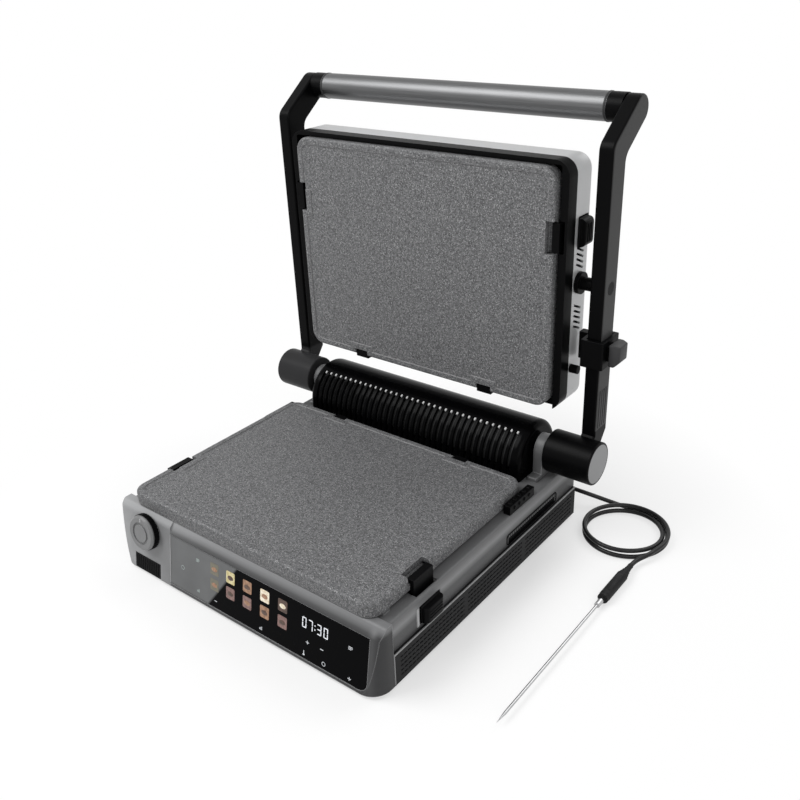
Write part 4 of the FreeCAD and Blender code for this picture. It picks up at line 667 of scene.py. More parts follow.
@dataclass(frozen=True)
class PaintedLightGraded(Moulded):
    """Moulded surface with painted light: painted highlights at its left end, crest and right
    corner, and painted shade at its right end, side and brow.
    """

    ends: Span = (-0.16, 0.16)
    # Shares of the colour for the painted highlight at the left end, the painted shade towards the
    # right end, the painted glint at the right corner and the painted highlight along the crest.
    painted_light_share: float = 2.9
    painted_shade_share: float = 0.6
    corner: float = 1.5
    crest_glint_share: float = 2.0
    # Where across the width the painted highlight, the own colour, the painted shade, the corner
    # glint and the painted side shadow sit.
    places: tuple[float, ...] = (0.0, 0.36, 0.955, 0.972, 0.986)
    crest_places: Triple = (0.0, 0.45, 1.0)
    # The painted shadow on the brow lies right of the pod; the heights and strengths of that
    # painted shadow and of the painted highlight on the crest follow.
    pod: Span = (-0.088, -0.087)
    brow: Span = (0.061, 0.056)
    brow_shadow_share: float = 0.8
    crest: Span = (0.059, 0.0635)
    crest_highlight_share: float = 0.9
    # Colour of the painted shadow on the side face and on the brow.
    shadow: Triple = (0.02, 0.02, 0.021)

    def tinted(self, tree: Surface, body: Socket) -> Socket:
        """Paint light and shade into the colour from one end to the other, a painted shadow on the
        brow over the glass and a painted highlight along the crest.

        Args:
            tree: the tree being wired.
            body: the colour so far.

        Returns:
            The shaded colour.
        """
        split = tree.split()
        level = tree.spread(split["X"], *self.ends)
        # Tones of the painted highlight, the painted shade, the corner glint and the crest
        # highlight.
        shares = (self.painted_light_share, self.painted_shade_share, self.corner, self.crest_glint_share)
        pale, painted_shade_tone, glint, crest_highlight_tone = (toned(self.colour, share) for share in shares)
        tones = (pale, self.colour, painted_shade_tone, glint, self.shadow)
        shade = self.clouded(tree, tree.ramp(level, list(zip(self.places, tones))), body)
        # Painted shadow on the brow just over the glass, right of the pod.
        beside = tree.spread(split["X"], *self.pod)
        low = tree.spread(split["Z"], *self.brow, 0.0, self.brow_shadow_share)
        shade = tree.mixed(tree.maths("MULTIPLY", beside, low), shade, self.shadow)
        # Painted highlight along the crest.
        high = tree.spread(split["Z"], *self.crest, 0.0, self.crest_highlight_share)
        light = tree.ramp(level, list(zip(self.crest_places, (pale, crest_highlight_tone, glint))))
        return tree.mixed(high, shade, light)


@dataclass(frozen=True)
class PaintedLightBands(Moulded):
    """Moulded surface with painted light up its height: a painted highlight band on the side wall,
    with painted shade below it and towards the plate.
    """

    # Heights and shares of the colour: painted shade low on the wall, a painted highlight band at
    # 54 mm, and less light up towards the plate.
    painted_light_bands: tuple[Span, ...] = (
        (0.036, 0.53), (0.047, 0.56), (0.054, 1.9), (0.06, 1.1), (0.067, 0.95),
    )

    def tinted(self, tree: Surface, body: Socket) -> Socket:
        """Paint light and shade into the colour by height.

        Args:
            tree: the tree being wired.
            body: the colour so far.

        Returns:
            The shaded colour.
        """
        low, high = self.painted_light_bands[0][0], self.painted_light_bands[-1][0]
        level = tree.spread(tree.split()["Z"], low, high)
        stops = [((z - low) / (high - low), toned(self.colour, share)) for z, share in self.painted_light_bands]
        return self.clouded(tree, tree.ramp(level, stops), body)


@dataclass(frozen=True)
class StoneCoat(Finish):
    """Non-stick coating with light and dark flecks, slightly rough."""

    ground: Triple
    light: Triple
    dark: Triple
    edge: float = 1.1
    patches: Span = (420.0, 5.0)
    fleck: Span = (950.0, 1.0)
    fleck_above: Span = (0.585, 0.66)
    speck: Span = (780.0, 1.0)
    speck_above: Span = (0.6, 0.68)
    speck_shift: Triple = (3.1, 1.7, 0.4)
    grain: Span = (700.0, 3.0)
    roughness: Span = (0.46, 0.66)
    depth: float = 0.12
    relief: float = 0.5

    def wire(self, tree: Surface) -> None:
        """Wire the ground, the flecks and the grain.

        Args:
            tree: the new tree.
        """
        ground = tree.mottled(tree.noise(*self.patches), self.ground, 0.62, 1.35, (0.34, 0.66))
        flecks = tree.spread(tree.noise(*self.fleck), *self.fleck_above)
        shifted = tree.mapped(shift=self.speck_shift)
        specks = tree.spread(tree.noise(*self.speck, shifted), *self.speck_above)
        coat = tree.mixed(specks, tree.mixed(flecks, ground, self.light), self.dark)
        normals = tree.soft(self.edge)
        grain = tree.noise(*self.grain)
        tree.feed(
            Specular_IOR_Level=0.35,
            # Edges take the light fleck colour: part worn rim, part painted highlight.
            Base_Color=tree.mixed(tree.edges(normals), coat, self.light),
            Roughness=tree.spread(grain, *NOISE, *self.roughness),
        )
        tree.bumped(grain, self.depth, self.relief, normals)


@dataclass(frozen=True)
class Brushed(Finish):
    """Metal brushed along one direction, with fine streaks."""

    colour: Triple
    roughness: float
    along: Axis
    metallic: float = 1.0
    edge: float = 0.5
    stretch: float = 0.012
    streak: Span = (2600.0, 3.0)

    def wire(self, tree: Surface) -> None:
        """Wire the streaks.

        Args:
            tree: the new tree.
        """
        scale = tuple(self.stretch if part else 1.0 for part in self.along.value)
        streaks = tree.noise(*self.streak, tree.mapped(scale=scale))
        tree.feed(
            Metallic=self.metallic,
            Base_Color=tree.mottled(streaks, self.colour, 0.86, 1.12),
            Roughness=tree.varied(streaks, self.roughness, 0.2, (0.25, 0.75)),
        )
        tree.bumped(streaks, 0.01, 0.35, tree.soft(self.edge))


@dataclass(frozen=True)
class Spun(Finish):
    """Metal disc with fine turning rings about an axis along X."""

    colour: Triple
    roughness: float
    centre: Triple
    edge: float = 0.4

    def wire(self, tree: Surface) -> None:
        """Wire the rings.

        Args:
            tree: the new tree.
        """
        centred = tree.mapped(shift=tuple(-part for part in self.centre))
        inputs = {"Vector": centred, "Scale": 420.0, "Distortion": 0.6, "Detail": 2.0}
        wave = tree.add("ShaderNodeTexWave", inputs, wave_type="RINGS", rings_direction="X")
        rings = wave.outputs["Fac"]
        tree.feed(
            Metallic=1.0,
            Base_Color=tree.mottled(rings, self.colour, 0.9, 1.0, (0.2, 0.8)),
            Roughness=tree.varied(rings, self.roughness, 0.2, (0.0, 1.0)),
        )
        tree.bumped(rings, 0.012, 0.4, tree.soft(self.edge))


@dataclass(frozen=True)
class PanelGlass(Finish):
    """Gloss black touch glass whose left part, up to a slanting line, carries a grey painted
    reflection.
    """

    black: Triple
    # Colour of the painted reflection on the glass's left part.
    grey: Triple
    slant: Triple = (1.0, 0.0, -0.74)
    line: Span = (-0.0395, -0.0425)
    edge: float = 0.4

    def wire(self, tree: Surface) -> None:
        """Wire the black, the painted reflection and the smears.

        Args:
            tree: the new tree.
        """
        # Painted reflection: grey over the glass left of a slanting line.
        share = tree.spread(tree.dot(tree.place, self.slant), *self.line)
        painted_sheen = tree.mottled(tree.noise(30.0, 3.0), self.grey, 0.85, 1.0)
        smears = tree.noise(160.0, 3.0)
        tree.feed(
            Specular_IOR_Level=0.025,
            Base_Color=tree.mixed(share, self.black, painted_sheen),
            Roughness=tree.spread(smears, 0.35, 0.7, 0.05, 0.12),
        )
        tree.bumped(smears, 0.004, 0.1, tree.soft(self.edge))


@dataclass(frozen=True)
class Glow(Finish):
    """Lit print behind the glass, uneven like a small lamp behind a mask."""

    colour: Triple
    second: Triple
    strength: float
    scale: float = 260.0

    def wire(self, tree: Surface) -> None:
        """Wire the uneven light.

        Args:
            tree: the new tree.
        """
        lit = tree.ramp(tree.noise(self.scale, 3.0), [(0.36, self.second), (0.64, self.colour)])
        tree.feed(Base_Color=lit, Emission_Color=lit)
        tree.feed(Roughness=0.35, Emission_Strength=self.strength)


class Palette:
    """Every finish on the grill, built once and kept by name, and the CAD nodes that wear it."""

    FINISHES = (
        Moulded("body_grey", (0.118, 0.119, 0.121), 0.42, 1100.0, 0.025, 2.2, 2.5, 0.3),
        PaintedLightBands("housing_grey", (0.118, 0.119, 0.121), 0.42, 1100.0, 0.025, 1.2, 2.0, 0.3),
        PaintedLightGraded("fascia_grey", (0.108, 0.109, 0.111), 0.44, 1100.0, 0.025, 1.4, 2.6, 0.3),
        Moulded("panel_grey", (0.011, 0.011, 0.0115), 0.5, 1300.0, 0.04, 0.5, 2.6, 0.1),
        Moulded("knob_grey", (0.165, 0.166, 0.168), 0.36, 1500.0, 0.015, 0.7, 1.7, 0.3),
        Moulded("black_satin", (0.0022, 0.0022, 0.0024), 0.36, 1200.0, 0.03, 0.6, 5.0, 0.045),
        Moulded("black_matte", (0.005, 0.005, 0.0053), 0.6, 1500.0, 0.05, 0.5, 3.0, 0.06),
        Moulded("black_gloss", (0.0012, 0.0012, 0.0014), 0.2, 500.0, 0.006, 0.6, 5.0, 0.03),
        TwoToneAndPaintedHighlight("arm_black", (0.0016, 0.0016, 0.0018), 0.34, 1600.0, 0.03, 0.8, 8.0, 0.045),
        Moulded("arm_grey", (0.036, 0.036, 0.037), 0.45, 1600.0, 0.03, 0.5, 1.8, 0.15),
        Moulded("rubber", (0.008, 0.008, 0.0084), 0.55, 800.0, 0.06, 0.4, 3.0, 0.15),
        Moulded("cord_skin", (0.006, 0.006, 0.0063), 0.36, 900.0, 0.03, 0.2, 1.2, 0.25),
        Moulded("board_mask", (0.02, 0.12, 0.06), 0.4, 700.0, 0.03, 0.3, 1.3, 0.4),
        Moulded("silver_shell", (0.56, 0.565, 0.57), 0.4, 900.0, 0.012, 0.9, 1.2, 0.5, 0.45, 0.02),
        Moulded("edge_silver", (0.34, 0.342, 0.345), 0.34, 1200.0, 0.01, 0.4, 1.4, 0.5),
        Moulded("line_grey", (0.27, 0.271, 0.273), 0.38, 1200.0, 0.01, 0.3, 1.3, 0.4),
        # Bright colour of the painted glints in the extractor's slots.
        Moulded("glint_white", (0.5, 0.5, 0.5), 0.4, 1200.0, 0.01, 0.3, 1.2, 0.5),
        StoneCoat("stone_coat", (0.112, 0.113, 0.116), (0.3, 0.3, 0.304), (0.036, 0.036, 0.038)),
        Brushed("grip_steel", (0.12, 0.121, 0.123), 0.4, Axis.X),
        Brushed("bright_steel", (0.55, 0.55, 0.555), 0.3, Axis.X),
        Brushed("needle_steel", (0.45, 0.45, 0.455), 0.3, Axis.Y),
        Brushed("filter_steel", (0.03, 0.03, 0.0305), 0.5, Axis.Z, 0.6),
        Spun("disc_silver", (0.25, 0.252, 0.255), 0.4, (0.0, 0.109, 0.09)),
        PanelGlass("panel_glass", (0.0012, 0.0012, 0.0015), (0.155, 0.158, 0.16)),
        Glow("ink_white", (0.7, 0.72, 0.75), (0.5, 0.52, 0.55), 0.42),
        Glow("ink_soft", (0.5, 0.52, 0.54), (0.36, 0.37, 0.39), 0.32),
        Glow("ink_dim", (0.3, 0.36, 0.34), (0.22, 0.24, 0.24), 0.15),
        Glow("tile_yellow", (0.52, 0.47, 0.27), (0.36, 0.29, 0.12), 0.3, 420.0),
        Glow("tile_tan", (0.30, 0.17, 0.10), (0.17, 0.085, 0.045), 0.25, 420.0),
        Glow("tile_cream", (0.66, 0.61, 0.5), (0.48, 0.4, 0.28), 0.35, 420.0),
        Glow("tile_rose", (0.2, 0.115, 0.1), (0.12, 0.062, 0.055), 0.2, 420.0),
        Glow("tile_brown", (0.085, 0.045, 0.03), (0.04, 0.02, 0.012), 0.15, 420.0),
        Glow("tile_dim", (0.15, 0.135, 0.09), (0.11, 0.105, 0.08), 0.06, 420.0),
    )
    WORN_BY = {
        "housing_grey": "base_housing",
        "body_grey": "hinge_posts",
        "fascia_grey": "front_fascia",
        "panel_grey": "side_panel_right side_panel_left",
        "knob_grey": "knob",
        "black_satin": "latch_lower_right latch_lower_left latch_upper_right latch_upper_left "
        "height_lock lid_carrier grip_ends lid_hooks lower_hooks rim_guards lid_studs lid_stops",
        "black_matte": "bottom_cover drip_tray drip_tray_front mains_gland probe_socket "
        "knob_encoder extractor_back fan_drum probe_plug probe_handle",
        "black_gloss": "extractor_cover",
        "arm_black": "arm_right arm_left",
        "rubber": "feet probe_lead probe_coil probe_tail",
        "board_mask": "display_board power_board",
        "silver_shell": "lid_shell",
        "stone_coat": "lower_plate lid_plate",
        "grip_steel": "grip_tube",
        "bright_steel": "base_screws knob_shaft lower_reflector lower_heater lower_sensor "
        "latch_lower_pins fan_shaft fan_motor fan_bearing hinge_pins lid_reflector lid_heater "
        "lid_sensor latch_upper_pins",
        "needle_steel": "probe_needle",
        "filter_steel": "grease_filter",
        "disc_silver": "hinge_caps",
        "panel_glass": "touch_glass",
    }

    def __init__(self) -> None:
        """Build every finish."""
        self.materials = {finish.name: finish.build() for finish in self.FINISHES}

    def __getitem__(self, name: str) -> bpy.types.Material:
        """The material of a finish, by name."""
        return self.materials[name]

    def dress(self, nodes: dict[str, Piece]) -> None:
        """Give every CAD node its finish.

        Args:
            nodes: the frame's nodes by name.
        """
        bare = set(nodes)
        for finish, names in self.WORN_BY.items():
            for name in names.split():
                bare.discard(name)
                if not nodes[name].material_slots:
                    nodes[name].data.materials.append(self[finish])
                for place in nodes[name].material_slots:
                    place.material = self[finish]
        for name in sorted(bare):
            LOG.warning("%s has no finish of its own", name)


@dataclass
class Dress:
    """A group of small pieces that are dressed from one palette."""

    palette: Palette

    def done(
        self,
        piece: Piece,
        finish: str,
        slot: str,
        body: str = "base",
        replaces: Sequence[str] = (),
        angle: float = 35.0,
    ) -> Piece:
        """Smooth a finished piece, dress it and let it ride on its body.

        Args:
            piece: the finished piece.
            finish: the name of its finish.
            slot: the record's slot that its finish comes from; not used.
            body: the body that it moves with.
            replaces: CAD nodes that it stands for.
            angle: steepest edge in degrees that is shaded smooth.

        Returns:
            The piece.
        """
        Bench.take(piece)
        bpy.ops.object.shade_smooth_by_angle(angle=math.radians(angle))
        piece.data.materials.clear()
        piece.data.materials.append(self.palette[finish])
        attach(piece, body)
        if replaces:
            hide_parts(*replaces)
        LOG.info("%s: %d faces on %s", piece.name, len(piece.data.polygons), body)
        return piece

    def pair(self, right: Piece, finish: str, slot: str, body: str = "base") -> None:
        """Finish a right-hand piece, and its mirrored copy on the left.

        Args:
            right: the right-hand piece.
            finish: the name of their finish.
            slot: the record's slot that the finish comes from.
            body: the body that the right-hand piece moves with.
        """
        left = Bench.mirror(right, right.name.replace("right", "left"))
        self.done(right, finish, slot, body)
        self.done(left, finish, slot, body.replace("right", "left"))


@dataclass
class ControlPanel(Dress):
    """Lit print on the touch glass: menu tiles, a clock and small touch marks."""

    SEGMENTS = {"0": "abcdef", "3": "abcdg", "7": "abc"}
    CROSS = ((-1.7, 1.7, -0.35, 0.35), (-0.35, 0.35, -1.7, 1.7))
    DASH = CROSS[:1]
    ROWS = ((-2.2, 2.2, 0.9, 1.5), (-2.2, 2.2, -0.3, 0.3), (-2.2, 0.9, -1.5, -0.9))
    STEM = ((-0.4, 0.4, -0.6, 2.4), (-1.0, 1.0, -2.2, -0.7))
    POST = ((-1.6, -0.9, -1.6, 0.2), (-0.35, 0.35, -1.6, 1.0), (0.9, 1.6, -1.6, 1.8))
    LIT_MARKS = (
        (84.7, 20.0, CROSS), (100.4, 20.6, DASH), (130.0, 36.0, ROWS), (81.0, 8.4, STEM),
        (30.6, 8.8, POST), (130.4, 8.0, CROSS), (-26.3, 10.3, DASH),
    )
    LIT_RING = (103.0, 8.2, 2.0)
    DIM_MARKS = ((-50.2, 41.5, ROWS), (-49.7, 11.2, POST))
    DIM_RING = (-70.7, 26.3, 2.2)
    POD_EDGE = ((-88.25, -0.15, 4.0), (-87.65, 0.9, 53.0))
    TILE_TONES = (
        (("tile_yellow", "tile_brown"), ("tile_rose", "tile_brown")),
        (("tile_tan", "tile_brown"), ("tile_rose", "tile_tan")),
        (("tile_cream", "tile_tan"), ("tile_tan", "tile_brown")),
        (("tile_brown", "tile_cream"), ("tile_rose", "tile_brown")),
    )

    face: float = 0.4
    proud: float = 0.1
    sunk: float = 0.3
    tile: Span = (10.6, 11.6)
    columns: tuple[float, ...] = (-7.5, 13.5, 34.7, 55.7)
    dim_column: float = -28.0
    rows: Span = (41.5, 26.0)
    sign_radius: float = 3.1
    sign_stretch: Triple = (1.15, 1.0, 0.72)
    shown: str = "0730"
    digit_left: tuple[float, ...] = (78.2, 85.2, 94.6, 101.6)
    digit_size: Span = (4.6, 9.8)
    digit_base: float = 32.4
    digit_gap: float = 0.16
    stroke: float = 0.95
    colon: float = 0.6
    colon_at: Span = (0.3, 0.68)

    def printed(self, piece: Piece, finish: str) -> None:
        """Stand a drawn piece onto the glass and finish it."""
        self.done(Bench.onto_panel(piece), finish, "panel_glass")

    def mark(self, name: str, x: Span, z: Span, rounding: float, steps: int) -> Piece:
        """A thin plate with rounded corners on the glass, still upright.

        Args:
            name: its name.
            x: its span along the panel.
            z: its span up the slope.
            rounding: radius of its corners.
            steps: facets across each corner.

        Returns:
            The plate.
        """
        near = (x[0], self.face - self.proud, z[0])
        plate = Bench.block(name, near, (x[1], self.face + self.sunk, z[1]))
        return Bench.bevel(plate, along(Axis.Y), rounding, steps)

    def menu_tile(self, name: str, x: float, z: float, tones: tuple[str, str]) -> None:
        """One menu tile: a rounded plate with a raised oval on it.

        Args:
            name: its name.
            x: its middle along the panel.
            z: its middle up the slope.
            tones: finishes of the plate and of the oval.
        """
        wide, tall = self.tile[0] / 2, self.tile[1] / 2
        plate = self.mark(name, (x - wide, x + wide), (z - tall, z + tall), 1.3, 4)
        Bench.stepped(plate, -Axis.Y.vector, [(0.5, 0.03)])
        self.printed(plate, tones[0])
        start = (x, self.face - 0.22, z - 0.4)
        sign = Bench.drum(f"{name}_sign", self.sign_radius, start, 0.5, Axis.Y, 24)
        Bench.pick(sign, Pick.POINTS, lambda place, way: True)
        middle = Vector((x, 0.0, z)) * MM
        bpy.ops.transform.resize(value=self.sign_stretch, center_override=middle)
        Bench.clear()
        Bench.bevel(sign, lambda place, way: abs(way.y) < ACROSS and place.y < self.face, 0.08)
        self.printed(sign, tones[1])

    def segment(self, x: Span, z: Span) -> Piece:
        """One bar of a clock digit, with mitred ends."""
        return self.mark("clock_bar", x, z, self.stroke * 0.42, 1)

    def digit(self, sign: str, left: float) -> list[Piece]:
        """The bars of one clock digit.

        Args:
            sign: the digit.
            left: its left edge along the panel.

        Returns:
            The bars.
        """
        wide, tall = self.digit_size
        low, thick, gap = self.digit_base, self.stroke, self.digit_gap
        middle, right, top = low + tall / 2, left + wide, low + tall
        level = (left + gap, right - gap)
        upper, lower = (middle + gap, top - gap), (low + gap, middle - gap)
        spans = {
            "a": (level, (top - thick, top)),
            "b": ((right - thick, right), upper),
            "c": ((right - thick, right), lower),
            "d": (level, (low, low + thick)),
            "e": ((left, left + thick), lower),
            "f": ((left, left + thick), upper),
            "g": (level, (middle - thick / 2, middle + thick / 2)),
        }
        return [self.segment(*spans[bar]) for bar in self.SEGMENTS[sign]]

    def clock(self) -> None:
        """The lit clock."""
        places = zip(self.shown, self.digit_left)
        bars = [bar for sign, left in places for bar in self.digit(sign, left)]
        x = (self.digit_left[1] + self.digit_size[0] + self.digit_left[2]) / 2
        half = self.colon
        for share in self.colon_at:
            z = self.digit_base + self.digit_size[1] * share
            bars.append(self.segment((x - half, x + half), (z - half, z + half)))
        self.printed(Bench.join("clock_digits", bars), "ink_white")

    def ring(self, x: float, z: float, radius: float) -> Piece:
        """A round touch mark.

        Args:
            x: its middle along the panel.
            z: its middle up the slope.
            radius: its radius.

        Returns:
            The ring.
        """
        disc = Bench.drum("touch_ring", radius, (x, self.face - self.proud, z), 0.4, Axis.Y, 28)
        Bench.stepped(disc, -Axis.Y.vector, [(0.5, -self.sunk)])
        return disc

    def touch_marks(self, name: str, finish: str, marks: Sequence[tuple], ring: Triple) -> None:
        """A set of small touch marks, each made of short strokes, and a round one.

        Args:
            name: name of the set.
            finish: the name of its finish.
            marks: each mark's place, and its strokes' left, right, low and high from there.
            ring: place and radius of the round mark.
        """
        strokes = [
            self.mark("touch_stroke", (x + left, x + right), (z + low, z + high), 0.22, 2)
            for x, z, spans in marks
            for left, right, low, high in spans
        ]
        self.printed(Bench.join(name, [*strokes, self.ring(*ring)]), finish)

    def build(self) -> None:
        """Print the whole panel."""
        for column, (x, pair) in enumerate(zip(self.columns, self.TILE_TONES)):
            for row, (z, tones) in enumerate(zip(self.rows, pair)):
                self.menu_tile(f"menu_tile_{column}_{row}", x, z, tones)
        for row, z in enumerate(self.rows):
            self.menu_tile(f"menu_tile_dim_{row}", self.dim_column, z, ("tile_dim", "tile_tan"))
        self.clock()
        self.touch_marks("touch_marks", "ink_soft", self.LIT_MARKS, self.LIT_RING)
        self.touch_marks("touch_marks_dim", "ink_dim", self.DIM_MARKS, self.DIM_RING)
        strip = Bench.block("pod_edge", *self.POD_EDGE)
        Bench.bevel(strip, along(Axis.Z), 0.22)
        self.done(Bench.onto_panel(strip), "edge_silver", "body_grey")


@dataclass
class KnobDress(Dress):
    """Ribbed black skirt and pointer of the dial."""

    centre: Span = (-119.0, 46.0)
    radius: float = 17.15
    face: float = -9.5
    front: float = -6.6
    back: float = -1.2
    ribs: int = 64
    rib_inset: float = 0.12
    rib_height: float = 0.35
    pointer_half: float = 0.7
    pointer_reach: Span = (11.8, 15.2)

    def build(self) -> None:
        """Make the skirt and the pointer."""
        x, z = self.centre
        start, length = (x, self.front, z), self.back - self.front
        skirt = Bench.drum("knob_skirt", self.radius, start, length, Axis.Y, self.ribs)
        step = 2 * math.pi / self.ribs

        def every_other(place: Vector, way: Vector) -> bool:
            """Whether a side face belongs to a rib."""
            turn = math.atan2(place.z - z, place.x - x) / step
            return abs(way.y) < ACROSS and math.floor(turn + 0.25) % 2 == 0

        Bench.pick(skirt, Pick.FACES, every_other)
        inset, height = self.rib_inset * MM, self.rib_height * MM
        bpy.ops.mesh.inset(thickness=inset, depth=height, use_individual=True)
        Bench.clear()
        Bench.onto_panel(skirt)
        self.done(skirt, "black_satin", "black_plastic", "control_knob", angle=20.0)
        half, (low, high) = self.pointer_half, self.pointer_reach
        near, far = (x - half, self.face - 0.12, z + low), (x + half, self.face + 0.4, z + high)
        pointer = Bench.bevel(Bench.block("knob_pointer", near, far), along(Axis.Y), 0.5, 3)
        self.done(Bench.onto_panel(pointer), "edge_silver", "body_grey", "control_knob")


@dataclass
class LatchDress(Dress):
    """Ribbed press pads on the four plate latches, and the light trim at the lower ones."""

    inner: float = 157.6
    outer: float = 163.6
    lower: tuple[Span, Span] = ((-112.4, -87.6), (38.6, 53.4))
    upper: tuple[Span, Span] = ((126.2, 140.9), (286.6, 311.4))
    rib_offsets: Triple = (-3.0, 0.0, 3.0)
    rib_half: float = 0.55
    rib_margin: float = 4.0
    trim: tuple[Triple, Triple] = ((156.7, -118.3, 37.2), (158.3, -115.4, 54.8))

    def pad(self, name: str, y: Span, z: Span, ribs: Axis) -> Piece:
        """A bulging pad with three grip ribs.

        Args:
            name: its name.
            y: its span front to back.
            z: its span in height.
            ribs: direction of the ribs.

        Returns:
            The right-hand pad.
        """
        upright = ribs is Axis.Z
        pad = Bench.block(name, (self.inner, y[0], z[0]), (self.outer, y[1], z[1]))
        outside = past(Axis.X, self.inner + 1.0)
        for axis, width, steps in ((Axis.Y if upright else Axis.Z, 4.6, 6), (ribs, 1.8, 4)):
            Bench.bevel(pad, each(outside, along(axis)), width, steps)
        pieces = [pad]
        middle = sum(y if upright else z) / 2
        start, stop = z if upright else y
        length = (start + self.rib_margin, stop - self.rib_margin)
        for offset in self.rib_offsets:
            across = (middle + offset - self.rib_half, middle + offset + self.rib_half)
            (front, rear), (low, high) = (across, length) if upright else (length, across)
            near, far = (self.outer - 0.4, front, low), (self.outer + 0.6, rear, high)
            rib = Bench.block("pad_rib", near, far)
            pieces.append(Bench.bevel(rib, past(Axis.X, self.outer), 0.35))
        return Bench.join(name, pieces)

    def build(self) -> None:
        """Make the pads and the trims."""
        for level, spans, ribs in (("lower", self.lower, Axis.Y), ("upper", self.upper, Axis.Z)):
            pad = self.pad(f"{level}_pad_right", *spans, ribs)
            self.pair(pad, "black_satin", "black_plastic", f"{level}_latch_right")
        trim = Bench.bevel(Bench.block("latch_trim_right", *self.trim), rim(Axis.X, 157.5), 1.1, 3)
        self.pair(trim, "edge_silver", "body_grey")


@dataclass
class BaseDress(Dress):
    """Small things on the base: guard bumps, vents, screws, and lines and grilles on the panels."""

    guard_x: float = 152.5
    guard_y: Span = (29.0, 61.0)
    guard_top: float = 73.0
    bumps: int = 5
    bump_radius: float = 2.3
    bump_height: float = 2.2
    bump_sunk: float = 0.6
    bump_round: float = 1.4
    vent_y: Span = (17.0, 108.0)
    vent_z: Span = (35.0, 46.5)
    wall: float = 157.0
    vent_lip: Span = (1.3, -0.9)
    louvres: int = 26
    louvre_y: Span = (3.0, 4.2)
    louvre_inset: float = 2.0
    panel_face: float = 160.0
    panel_y: Span = (-152.0, 142.0)
    panel_top: float = 34.0
    panel_foot: float = 4.5
    grille_z: Span = (7.4, 29.0)
    grille_pitch: float = 5.2
    grille_margin: float = 14.0
    rear_wall: float = 152.0
    rear_x: Span = (-70.0, 90.0)
    rear_z: Span = (16.0, 44.0)
    rear_lip: Span = (1.8, -1.0)
    rear_louvres: int = 6
    rear_louvre_z: Span = (3.6, 5.4)
    rear_inset: float = 3.2
    rear_pitch: float = 3.9
    screw: Span = (-148.0, 14.0)
    screw_apart: Span = (296.0, 38.0)
    screw_radius: float = 3.4
    screw_height: float = 1.4
    cross: tuple[Span, Span] = ((2.0, 0.4), (0.4, 2.0))

    def guard_bumps(self) -> None:
        """Round bumps along the top of both rim guards."""
        name, (front, rear) = "guard_bumps_right", self.guard_y
        start = (self.guard_x, front, self.guard_top - self.bump_sunk)
        first = Bench.drum(name, self.bump_radius, start, self.bump_height, Axis.Z, 20)
        Bench.bevel(first, rim(Axis.Z, self.guard_top + 1.0), self.bump_round, 4)
        step = (rear - front) / (self.bumps - 1)
        bumps = Bench.row(name, first, (0.0, step, 0.0), self.bumps)
        self.pair(bumps, "black_satin", "black_plastic")

    def side_vent(self) -> None:
        """Long dark recess above the side panel, with upright louvres in it."""
        name, wall = "side_vent_right", self.wall
        (front, rear), (low, high) = self.vent_y, self.vent_z
        frame = Bench.block(name, (wall - 0.6, front, low), (wall + 0.5, rear, high))
        Bench.bevel(frame, along(Axis.X), 3.5, 4)
        Bench.stepped(frame, Axis.X.vector, [self.vent_lip])
        start, stop = self.louvre_y
        near = (wall - 0.5, front + start, low + self.louvre_inset)
        far = (wall + 0.05, front + stop, high - self.louvre_inset)
        bar = Bench.bevel(Bench.block("vent_louvre", near, far), rim(Axis.X, wall), 0.2)
        step = (rear - front - (start + stop)) / (self.louvres - 1)
        vent = Bench.row(name, bar, (0.0, step, 0.0), self.louvres, [frame])
        self.pair(vent, "black_gloss", "black_plastic")

    def side_panel(self) -> None:
        """Light line round the panel's top and front, and upright bars that part its louvres."""
        name, face, top = "panel_line_right", self.panel_face, self.panel_top
        (front, rear), (low, high) = self.panel_y, self.grille_z
        line = Bench.block(name, (face - 0.9, front, top - 1.0), (face + 0.25, rear, top + 0.3))
        Bench.bevel(line, along(Axis.Y), 0.25)
        near = (face - 0.9, front + 0.1, self.panel_foot)
        far = (face + 0.2, front + 1.0, top - 0.5)
        end = Bench.bevel(Bench.block("panel_end", near, far), along(Axis.Z), 0.25)
        self.pair(Bench.join(name, [line, end]), "line_grey", "body_grey")
        near, far = (face - 2.6, front + 6.0, low), (face - 0.15, front + 7.7, high)
        bar = Bench.block("grille_bar", near, far)
        Bench.bevel(bar, each(past(Axis.X, face - 1.0), along(Axis.Z)), 0.4)
        count = int((rear - front - self.grille_margin) / self.grille_pitch) + 1
        grille = Bench.row("panel_grille_right", bar, (0.0, self.grille_pitch, 0.0), count)
        self.pair(grille, "panel_grey", "body_grey")

    def rear_vent(self) -> None:
        """Louvred inset in the rear wall, between the gland and the probe's socket."""
        wall, (left, right), (low, high) = self.rear_wall, self.rear_x, self.rear_z
        frame = Bench.block("rear_vent", (left, wall - 0.6, low), (right, wall + 0.7, high))
        Bench.bevel(frame, along(Axis.Y), 4.0, 5)
        Bench.stepped(frame, Axis.Y.vector, [self.rear_lip])
        start, stop = self.rear_louvre_z
        near = (left + self.rear_inset, wall - 0.5, low + start)
        far = (right - self.rear_inset, wall + 0.5, low + stop)
        bar = Bench.bevel(Bench.block("rear_louvre", near, far), rim(Axis.Y, wall), 0.35)
        step = (0.0, 0.0, self.rear_pitch)
        vent = Bench.row("rear_vent", bar, step, self.rear_louvres, [frame])
        self.done(vent, "black_satin", "black_plastic")

